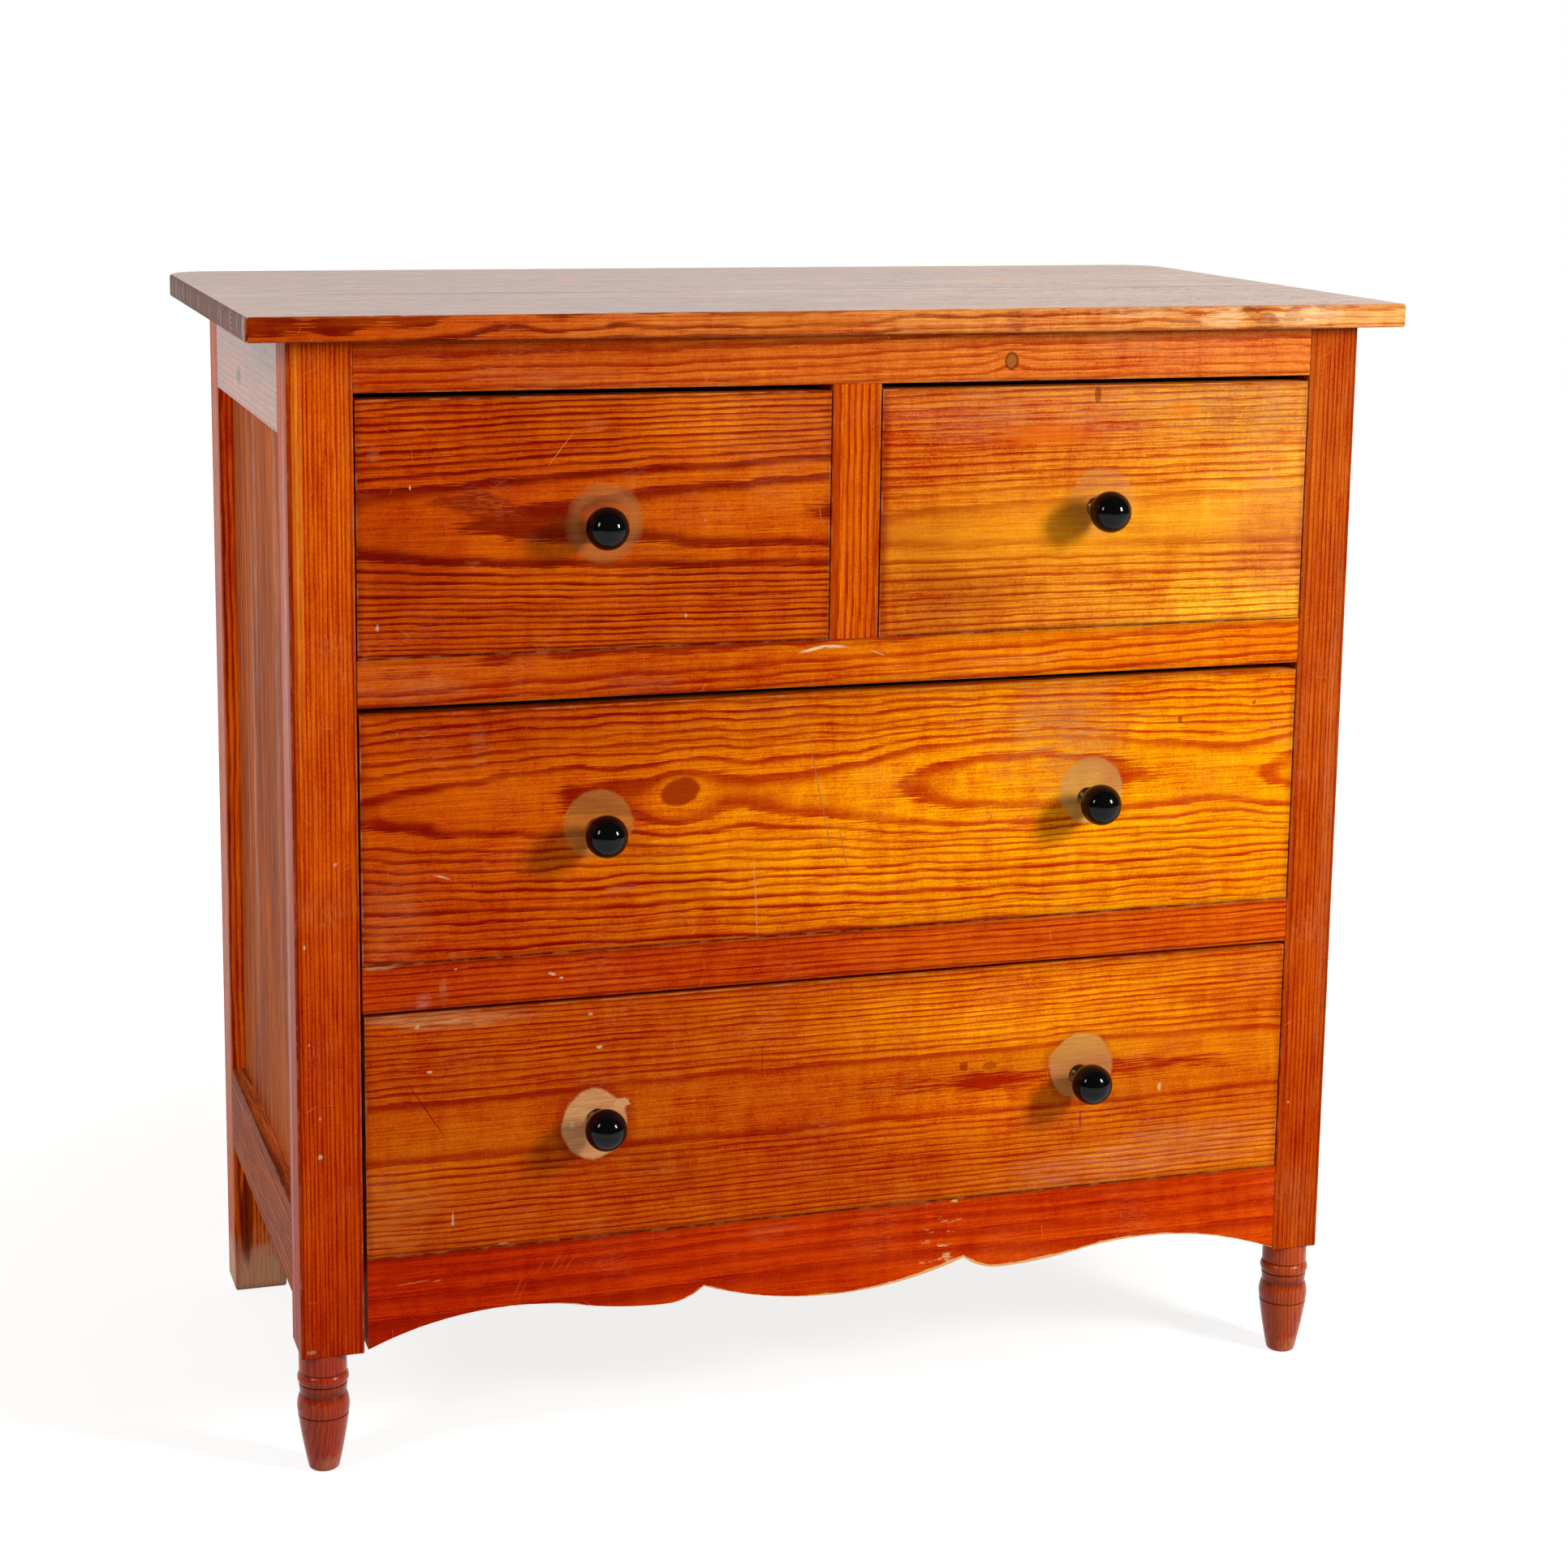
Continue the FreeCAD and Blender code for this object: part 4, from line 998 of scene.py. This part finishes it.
# %% [markdown]
# Each front post is square down to the apron and turned below it, all from one length of wood. The square
# is a block with rounded corners. The foot is an outline pulled out point by point and spun round its axis,
# as on a lathe: a plain ring, three beads with grooves between them, and a taper to the tip.

# %% Turn the front posts
POST_EASE, TOP_THICK, POST_GRAIN_LOW = 1.2 * MM, 20 * MM, -50 * MM
FOOT_TOP, FOOT_AXIS = 104.0, (439.5, 20.5)
foot_outline = [(0.0, FOOT_TOP), (19.8, FOOT_TOP), (19.8, 86.7), (18.9, 86.0)]
for first, via, last, count in (
    ((18.9, 86.0), (21.3, 81.0), (20.0, 76.7), 8), ((19.1, 76.0), None, None, 0),
    ((20.0, 75.3), (19.7, 71.8), (19.1, 67.5), 6),
    ((19.1, 67.5), (21.6, 58.2), (21.0, 49.7), 10), ((20.1, 49.0), None, None, 0),
    ((21.0, 48.3), (17.5, 25.7), (13.0, 3.0), 10),
    ((13.0, 3.0), (12.1, 0.9), (10.0, 0.0), 5)):
    foot_outline += [first] if via is None else arc_points(first, via, last, count)
foot_outline.append((0.0, 0.0))


def spun(name, outline, centre, axis, steps=56):
    piece = pulled_line(name, outline)
    take_all()
    bpy.ops.mesh.spin(steps=steps, angle=2 * math.pi, center=centre, axis=axis)
    take_all()
    bpy.ops.mesh.remove_doubles(threshold=1e-6)
    bpy.ops.mesh.normals_make_consistent(inside=False)
    start_fresh()
    return piece


case_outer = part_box("rear_post_right")[1].x
post_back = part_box("front_post_left")[1].y
posts = {}
for word, side, inner in (("left", -1, post_left_inner), ("right", 1, post_right_inner)):
    node = "front_post_" + word
    low = (min(inner, side * case_outer), FRONT, FOOT_TOP * MM)
    high = (max(inner, side * case_outer), post_back, cad_high.z - TOP_THICK)
    square = block(node + "_turned", low, high)
    pick(square, "EDGE", lambda e: runs_up(e) or midpoint(e).z < FOOT_TOP * MM + 1e-5)
    bevel(POST_EASE, 3)
    axis_x, axis_y = side * FOOT_AXIS[0] * MM, FRONT + FOOT_AXIS[1] * MM
    outline = [(axis_x + r * MM, axis_y, z * MM) for r, z in foot_outline]
    foot = spun(node + "_foot", outline, (axis_x, axis_y, 0), (0, 0, 1))
    foot.select_set(True)
    square.select_set(True)
    bpy.context.view_layer.objects.active = square
    bpy.ops.object.join()
    posts[node] = (square, side, ((low[0], low[1], POST_GRAIN_LOW), high))
    print("turned", node, "with", len(square.data.polygons), "faces")

# %% [markdown]
# The posts are stained like the rails. The feet have kept a glossier varnish, so their faces get a second
# material. Both have dark grooves, a shadow at the waist and a pale, worn tip.

# %% Stain the front posts
FOOT_IOR, FOOT_GLOSS = 1.3, 0.22
FOOT_GROOVES, FOOT_WAIST, FOOT_TIP = (86.4, 76.0, 49.0), 68.5, (196, 128, 84)
post_looks = {
    "front_post_left": dict(
        pale=[(202, 58, 2), (228, 96, 6)], dark=[(138, 0, 0), (156, 6, 0)], seed=13.0, pith=(64.0, 20.0),
        marks=[
            # Painted sheen: pale streaks on the side face, the milky look of varnish seen at a low angle.
            spot((-460, 22, 700), (3, 7, 190), (236, 206, 190), 0.6, ragged=0.6, soft=0.7, broken=0.7),
            spot((-460, 36, 420), (3, 6, 230), (236, 206, 190), 0.55, ragged=0.6, soft=0.7, broken=0.7),
            mark(-459, 560, 2.6, 420, (136, 14, 0), 0.6, soft=0.5),
            # Painted highlight in the upper part, beside the dark red strip at the left corner.
            mark(-452, 800, 3.0, 150, (255, 164, 50), 0.5, soft=0.8, broken=0.4),
            chip(-452.4, 453.6, 1.2, 2.2), chip(-442.3, 277, 2.2, 2.4, 0.8), chip(-442, 309.5, 1.2, 2.0),
            chip(-427, 520, 1.8, 2.0, 0.6), chip(-450, 372, 1.0, 1.2), chip(-452, 110, 4.0, 2.0, 0.5)]),
    "front_post_right": dict(
        pale=[(202, 72, 2), (190, 82, 12)], dark=[(146, 10, 0), (142, 20, 0)], seed=14.5,
        pith=(-58.0, 26.0), marks=[
            chip(426, 243.4, 1.0, 1.4), haze(452, 520, 6, 200, 0.4), haze(440, 150, 14, 30, 0.35)]),
}


def foot_marks(x, y):
    return [spot((x, y, level), (40, 40, 0.8), (52, 6, 0), 0.75, soft=0.5) for level in FOOT_GROOVES] + [
        spot((x, y, 62), (30, 30, 52), (140, 56, 26), 0.4, soft=0.5),
        spot((x, y, FOOT_WAIST), (40, 40, 4), (70, 10, 0), 0.6, soft=0.9),
        spot((x + 4, y - 12, 3), (11, 10, 11), FOOT_TIP, 0.7, ragged=0.8, soft=0.5, broken=0.5)]


for node, (square, side, length) in posts.items():
    look = dict(post_looks[node], ring=3.0, share=0.42, wander=6.0, ripple=1.2, drift=0.8, depth=0.85)
    look["marks"] = look["marks"] + foot_marks(side * FOOT_AXIS[0], FOOT_AXIS[1])
    settle(square, "case", node, varnished_pine(node + "_pine", length, "ZXY", **look))
    look.update(ior=FOOT_IOR, gloss=FOOT_GLOSS)
    square.data.materials.append(varnished_pine(node + "_foot_pine", length, "ZXY", **look))
    for face in square.data.polygons:
        face.material_index = int(face.center.z < (FOOT_TOP - 1) * MM)

# %% [markdown]
# The top is several boards glued edge to edge. Its back corners are well rounded, its front corners hardly at
# all, its edges are eased, and its ends are worn rounder still.

# %% Shape the top board
BACK_CORNER, FRONT_CORNER = 40 * MM, 4 * MM
TOP_EASE, UNDER_EASE, END_ROUND = 2.6 * MM, 2.2 * MM, 0.72
top_low, top_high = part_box("top_board")
top = block("top_slab", top_low, top_high)
pick(top, "EDGE", lambda e: runs_up(e) and midpoint(e).y > 0)
bevel(BACK_CORNER, 10)
pick(top, "EDGE", lambda e: runs_up(e) and midpoint(e).y < top_low.y + 1e-5)
bevel(FRONT_CORNER, 3)
for level, ease in ((top_high.z, TOP_EASE), (top_low.z, UNDER_EASE)):
    pick(top, "EDGE", lambda e: all(abs(v.co.z - level) < 1e-6 for v in e.verts))
    bevel(ease, 3)
for end in (top_low.x, top_high.x):
    pick(top, "VERT", lambda v: abs(v.co.x - end) < 1e-5)
    bpy.ops.transform.resize(value=(1, 1, END_ROUND))
print("top slab eased by", TOP_EASE / MM, "mm above and", UNDER_EASE / MM, "mm below")

# %% [markdown]
# Knocks have left small dents in the upper front edge, most of them at the right. For each dent the edge is
# cut three times, and the middle cut is pushed in and down. A dent is given by its place, reach and
# strength.

# %% Dent the front edge
DENT_DEPTH = 0.5
DENTS = (
    (176, 5, 0.9), (203, 4, 0.7), (228, 6, 1.0), (262, 5, 1.3), (287, 4, 0.8), (304, 5, 1.2), (335, 7, 1.5),
    (352, 4, 1.0), (378, 6, 1.4), (405, 5, 0.9), (431, 6, 1.2), (452, 5, 0.8), (-60, 4, 0.6),
    (-214, 5, 0.7), (-371, 4, 0.6))


def at_dent(point):
    near_edge = point.co.y < top_low.y + 2 * TOP_EASE and point.co.z > top_high.z - 3 * TOP_EASE
    return abs(point.co.x - x * MM) < 1e-5 and near_edge


for x, reach, push in DENTS:
    for cut in (x - reach, x, x + reach):
        take_all()
        bpy.ops.mesh.bisect(plane_co=(cut * MM, 0, 0), plane_no=(1, 0, 0))
    found = pick(top, "VERT", at_dent)
    bpy.ops.transform.translate(value=(0, push * DENT_DEPTH * MM, -push * DENT_DEPTH * MM))
print("dents knocked in:", len(DENTS), "each moving", found, "points")

# %% [markdown]
# The upper face has dulled varnish with dark dashes of open grain and fine glue lines.

# %% Stain the top board
TOP_LEVEL = top_high.z / MM
OPEN_GRAIN, GLUE_LINE = (40, 14, 8), (60, 20, 8)
dashes = [
    spot((x, y, TOP_LEVEL), (long, 2.2, MARK_DEPTH), OPEN_GRAIN, 0.85, ragged=0.9, soft=0.4, broken=0.4)
    for x, y, long in (
        (-292, 124, 26), (5, 414, 30), (297, 246, 22), (-120, 330, 18), (160, 90, 24), (-380, 300, 20))]
glue_lines = [
    spot((0, y, TOP_LEVEL), (520, 0.7, MARK_DEPTH), GLUE_LINE, 0.6, soft=0.5, broken=0.9)
    for y in (339, 245, 96)]
top_pine = varnished_pine(
    "top_slab_pine", (top_low, top_high), "XYZ", pale=[(222, 168, 138), (250, 200, 162)],
    dark=[(150, 74, 42), (190, 110, 68)], ring=7.0, pith=(-40.0, -50.0), wander=24.0, seed=17.0, gloss=0.3,
    rub=0.3, streak=5.0, drift=1.6, pores=-0.8, dirt=0.0, hue=0.25, relief=0.3, ior=2.3,
    marks=dashes + glue_lines)
settle(top, "case", "top_board", top_pine)
print("top face:", len(dashes), "dashes and", len(glue_lines), "glue lines")

# %% [markdown]
# The front edge of the top keeps its own stain, red at the left and rubbed pale at the right, with brown
# bruises. The ends show end grain, dark and dusty.

# %% Stain the edges of the top board
EDGE_OUT, END_OUT, END_DUST = (top_low.y - FRONT) / MM, top_low.x / MM, (222, 206, 200)
edge_back = (top_high.x, top_low.y + 40 * MM, top_high.z)


def edge_mark(x, wide, colour, strength, turn=0.0, high=9.0, z=948.0):
    size = (wide, MARK_DEPTH, high)
    return spot((x, EDGE_OUT, z), size, colour, strength, turn, 1.1, 0.3, tear=FACE_TEAR, broken=0.75)


top_edge_pine = varnished_pine(
    "top_edge_pine", (top_low, edge_back), "XZY", pale=[(206, 80, 2), (240, 160, 76)],
    dark=[(112, 0, 0), (176, 74, 10)], ring=4.4,
    pith=(16.0, 10.0), lean=(0.02, 0.0), wander=12.0, ripple=7.0, share=0.46, depth=1.0, seed=18.0, rub=0.5,
    dirt=0.1, scratches=0.4, marks=[
        edge_mark(-60, 60, (214, 110, 20), 0.5), edge_mark(400, 34, (250, 208, 160), 0.8),
        edge_mark(455, 30, (236, 176, 110), 0.7),
        edge_mark(322, 22, (248, 200, 150), 0.7), edge_mark(358, 20, (120, 60, 26), 0.75, 30),
        edge_mark(384, 9, (150, 84, 40), 0.6, 30),
        edge_mark(286, 24, (160, 92, 60), 0.55, 20, z=944), edge_mark(136, 9, (110, 40, 10), 0.6, 10),
        edge_mark(40, 10, (226, 140, 70), 0.5), edge_mark(250, 40, (244, 190, 130), 0.5, high=4, z=953)])
top_end_pine = varnished_pine(
    "top_end_pine", (top_low, top_high), "XYZ", pale=[(150, 98, 78)], dark=[(60, 28, 18)], ring=4.2,
    pith=(-190.0, -26.0), wander=6.0,
    seed=19.0, gloss=0.5, rub=0.5, streak=2.0, dirt=0.2, hue=0.2, relief=0.5, ior=1.2, marks=[
        spot((END_OUT, y, z), (MARK_DEPTH, wide, high), END_DUST, 0.75, ragged=1.2, soft=0.5, broken=0.6)
        for y, z, wide, high in (
            (-12, 948, 7, 14), (22, 951, 1.6, 9), (58, 946, 1.4, 12), (64, 950, 1.2, 10),
            (120, 948, 2.0, 11), (132, 952, 1.2, 8),
            (190, 946, 1.6, 10), (262, 950, 2.2, 9), (318, 945, 1.8, 11), (336, 950, 1.4, 10),
            (372, 947, 2.4, 12), (401, 944, 1.8, 9),
            (424, 949, 2.6, 10), (451, 945, 2.0, 11), (470, 950, 2.4, 9))])
for pine in (top_edge_pine, top_end_pine):
    top.data.materials.append(pine)
for face in top.data.polygons:
    if face.normal.y < -0.6:
        face.material_index = 1
    elif abs(face.normal.x) > 0.6:
        face.material_index = 2
print("top stained: face, front edge and ends")

# %% [markdown]
# The knobs are black glazed balls on small flared metal necks. Both are turned shapes, so an outline is spun
# round the knob's axis. One of each is modelled, and the others are copies moved to their places.

# %% Spin the knobs
BALL_RADIUS, BALL_OUT, BALL_SEAT, BALL_STEPS = 17.49, 29.0, 13.2, 32
KNOB_LEFT, KNOB_RIGHT = -211.25, 221.75
KNOB_LEVEL = {"top": 787.8, "middle": 536.3, "bottom": 287.8}
first_x, first_z = KNOB_LEFT * MM, KNOB_LEVEL["top"] * MM
seat_turn = math.acos((BALL_OUT - BALL_SEAT) / BALL_RADIUS)
turns = [(math.pi - seat_turn) * k / BALL_STEPS for k in range(BALL_STEPS + 1)]
ball_outline = [(BALL_RADIUS * math.sin(a), BALL_OUT + BALL_RADIUS * math.cos(a)) for a in turns]
ball_outline += [(0.0, BALL_SEAT)]
neck_outline = [(0.0, 0.0), (9.0, 0.0), (9.0, 1.1)]
neck_outline += arc_points((8.6, 1.6), (5.5, 8.1), (7.0, BALL_SEAT), 12) + [(0.0, BALL_SEAT)]


def knob_part(name, outline):
    points = [(first_x + r * MM, FRONT - out * MM, first_z) for r, out in outline]
    return spun(name, points, (first_x, FRONT, first_z), (0, 1, 0), 48)


def moved_copy(source, name, x, z):
    piece = edit_copy(name, source.data)
    bpy.ops.transform.translate(value=(x * MM - first_x, 0, z * MM - first_z))
    start_fresh()
    return piece


ball = knob_part("top_left_ball", ball_outline)
neck = knob_part("top_left_neck", neck_outline)
print("knob modelled:", len(ball.data.polygons), "and", len(neck.data.polygons), "faces")

# %% [markdown]
# The glaze is black and very smooth, with the faintest unevenness. The necks are brass gone brown.

# %% Glaze the balls and age the necks
BLACK, BLACK_FLECK = (0.0012, 0.0012, 0.0014, 1), (0.004, 0.0038, 0.004, 1)
glaze, tree = new_material("black_glaze_ball")
where = put(tree, "TexCoord").outputs["Object"]
mottle = cloud(tree, where, (120.0, 120.0, 120.0), 3.0)[0]
normal = bump_map(tree, cloud(tree, where, (60.0, 60.0, 60.0), 1.0)[0], 0.2 * MM, 0.05)
smooth = step(tree, mottle, 0.3, 0.8, 0.05, 0.1)
coat(tree, Base_Color=blend(tree, mottle, BLACK, BLACK_FLECK), Roughness=smooth, Normal=normal, IOR=1.28)


def old_metal(name, fine, detail, turn, first, second, rough):
    metal, tree = new_material(name)
    mottle = cloud(tree, put(tree, "TexCoord").outputs["Object"], (fine, fine, fine), detail)[0]
    share = step(tree, mottle, *turn) if turn else mottle
    worn = step(tree, mottle, 0.3, 0.7, *rough)
    coat(tree, Base_Color=blend(tree, share, tint(*first), tint(*second)), Roughness=worn, Metallic=1.0)
    return metal


BRASS, BROWN_BRASS, BRASS_ROUGH = (118, 84, 46), (66, 44, 26), (0.28, 0.5)
aged_brass = old_metal("aged_brass_neck", 260.0, 4.0, (0.35, 0.65), BRASS, BROWN_BRASS, BRASS_ROUGH)
KNOB_BODIES = {"top": ("top_left", "top_right"), "middle": ("middle",), "bottom": ("bottom",)}
knobs = ((ball, "ball", glaze, "black_glaze"), (neck, "neck", aged_brass, "brass"))
for level, bodies in KNOB_BODIES.items():
    for side, x, body in (("left", KNOB_LEFT, bodies[0]), ("right", KNOB_RIGHT, bodies[-1])):
        for source, word, material, slot in knobs:
            name = level + "_" + side + "_" + word
            piece = source if source.name == name else moved_copy(source, name, x, KNOB_LEVEL[level])
            settle(piece, body + "_drawer", body + "_knob_" + word, material, angle=50)

# %% [markdown]
# The sides and the rear posts keep their solids and only get wood. The sides stand in the light at a low
# angle, so their varnish looks milky, and the thin panels are flatter and browner than the rails. Pale
# streaks of that milky sheen are painted into the colour of the panels and the rear posts.

# %% Mark the sides and the rear posts
# The pale colour of painted sheen on the side faces.
PAINTED_SHEEN = (240, 206, 190)
SIDE_OUT = case_outer / MM
PANEL_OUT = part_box("side_panel_right")[1].x / MM
REAR_FRONT = (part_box("rear_post_left")[0].y - FRONT) / MM


# A streak of painted sheen, the milky look of varnish seen at a low angle.
def painted_sheen_streak(side, y, z, deep, high, strength):
    size = (MARK_DEPTH, deep, high)
    return spot((side * PANEL_OUT, y, z), size, PAINTED_SHEEN, strength, ragged=0.7, soft=0.7, broken=0.85)


def side_marks(stem, side):
    if stem == "side_panel":
        return [
            painted_sheen_streak(side, 282, 760, 7, 130, 0.5), painted_sheen_streak(side, 306, 520, 9, 210, 0.5),
            painted_sheen_streak(side, 255, 640, 4, 190, 0.2),
            painted_sheen_streak(side, 164, 640, 12, 300, 0.35), painted_sheen_streak(side, 345, 480, 5, 160, 0.2)]
    if stem == "side_top_rail":
        return [
            spot((side * SIDE_OUT, 269, 885), (MARK_DEPTH, 14, 7), (30, 12, 8), 0.9, ragged=0.9, soft=0.5),
            spot((side * SIDE_OUT, 120, 915), (MARK_DEPTH, 60, 9), (60, 26, 18), 0.6, ragged=0.9, soft=0.6,
                broken=0.6)]
    if stem == "rear_post":
        outer = side * (SIDE_OUT - 24)
        return [
            spot((outer, REAR_FRONT + 24, -6), (46, 46, 62), (244, 190, 150), 0.92, ragged=0.45, soft=0.25,
                broken=0.3),
            spot((side * (SIDE_OUT - 11), REAR_FRONT, 70), (5, 7, 44), (118, 16, 2), 0.85, ragged=0.4,
                soft=0.3),
            # Painted sheen: a pale streak down the outer side.
            spot((side * SIDE_OUT, REAR_FRONT + 24, 540), (2, 30, 420), PAINTED_SHEEN, 0.45, ragged=0.3, soft=0.4,
                broken=0.7)]
    return []


print("side marks ready")

# %% [markdown]
# Left and right are stained alike, each with its own seed for the grain.

# %% Varnish the sides and the rear posts
side_looks = {
    "side_top_rail": dict(
        order="YZX", pale=[(196, 122, 90)], dark=[(168, 94, 64)], ring=5.0, pith=(50.0, 20.0), gloss=0.3,
        streak=4.0, drift=4.0, hue=0.2, relief=0.2, ior=1.6),
    "side_bottom_rail": dict(
        order="YZX", pale=[(198, 96, 42)], dark=[(116, 38, 12)], ring=5.5, pith=(-60.0, 20.0), gloss=0.5,
        streak=4.0, hue=0.4, relief=0.4),
    "side_panel": dict(
        order="ZYX", pale=[(206, 104, 46)], dark=[(164, 72, 28)], ring=7.0, pith=(90.0, 30.0), gloss=0.55,
        streak=4.5, drift=1.6, hue=0.4, relief=0.3, specks=0.2, ior=1.09),
    "rear_post": dict(
        order="ZXY", pale=[(255, 104, 6)], dark=[(160, 20, 0)], ring=3.2, pith=(-60.0, 30.0), gloss=0.4,
        drift=1.0),
}
for number, (stem, look) in enumerate(side_looks.items()):
    order = look.pop("order")
    for side, sign in (("left", -1), ("right", 1)):
        node = stem + "_" + side
        seed = 20.0 + number + 0.25 * (sign + 1)
        marks = side_marks(stem, sign)
        pine = varnished_pine(node + "_pine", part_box(node), order, seed=seed, marks=marks, **look)
        dress(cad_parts[node], pine)
print("sides and rear posts varnished")

# %% [markdown]
# Inside and behind, the pine was never stained. Three bare woods do for all of it, one for each way the grain
# can run. Screws and nails are grey steel.

# %% Lay the bare pine and the steel
BARE_PALE, BARE_DARK = [(232, 184, 124)], [(192, 130, 74)]
bare = {}
for number, order in enumerate(("XZY", "YZX", "ZXY")):
    bare[order[0]] = varnished_pine(
        "bare_pine_" + order[0].lower(), (cad_low, cad_high), order, BARE_PALE, BARE_DARK, ring=6.0,
        pith=(380.0, 240.0), wander=30.0, seed=30.0 + number, gloss=0.72, rub=0.0, specks=0.0, drift=0.35,
        hue=0.25, ior=1.4)
STEEL, PALE_STEEL, STEEL_ROUGH = (120, 116, 110), (168, 164, 158), (0.35, 0.55)
steel = old_metal("fastener_steel", 400.0, 3.0, None, STEEL, PALE_STEEL, STEEL_ROUGH)
for node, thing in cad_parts.items():
    if thing.hide_render or node.startswith(("side_", "rear_post")):
        continue
    low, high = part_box(node)
    span = high - low
    if node in ("top_screws", "back_nails"):
        dress(thing, steel)
    elif node == "back_panel":
        dress(thing, bare["Z"])
    else:
        dress(thing, bare["Y" if span.y > span.x else "X"])
print("bare pine on the inside")

# %% Measure and finish
print("CAD size", [round(v, 4) for v in cad_high - cad_low])
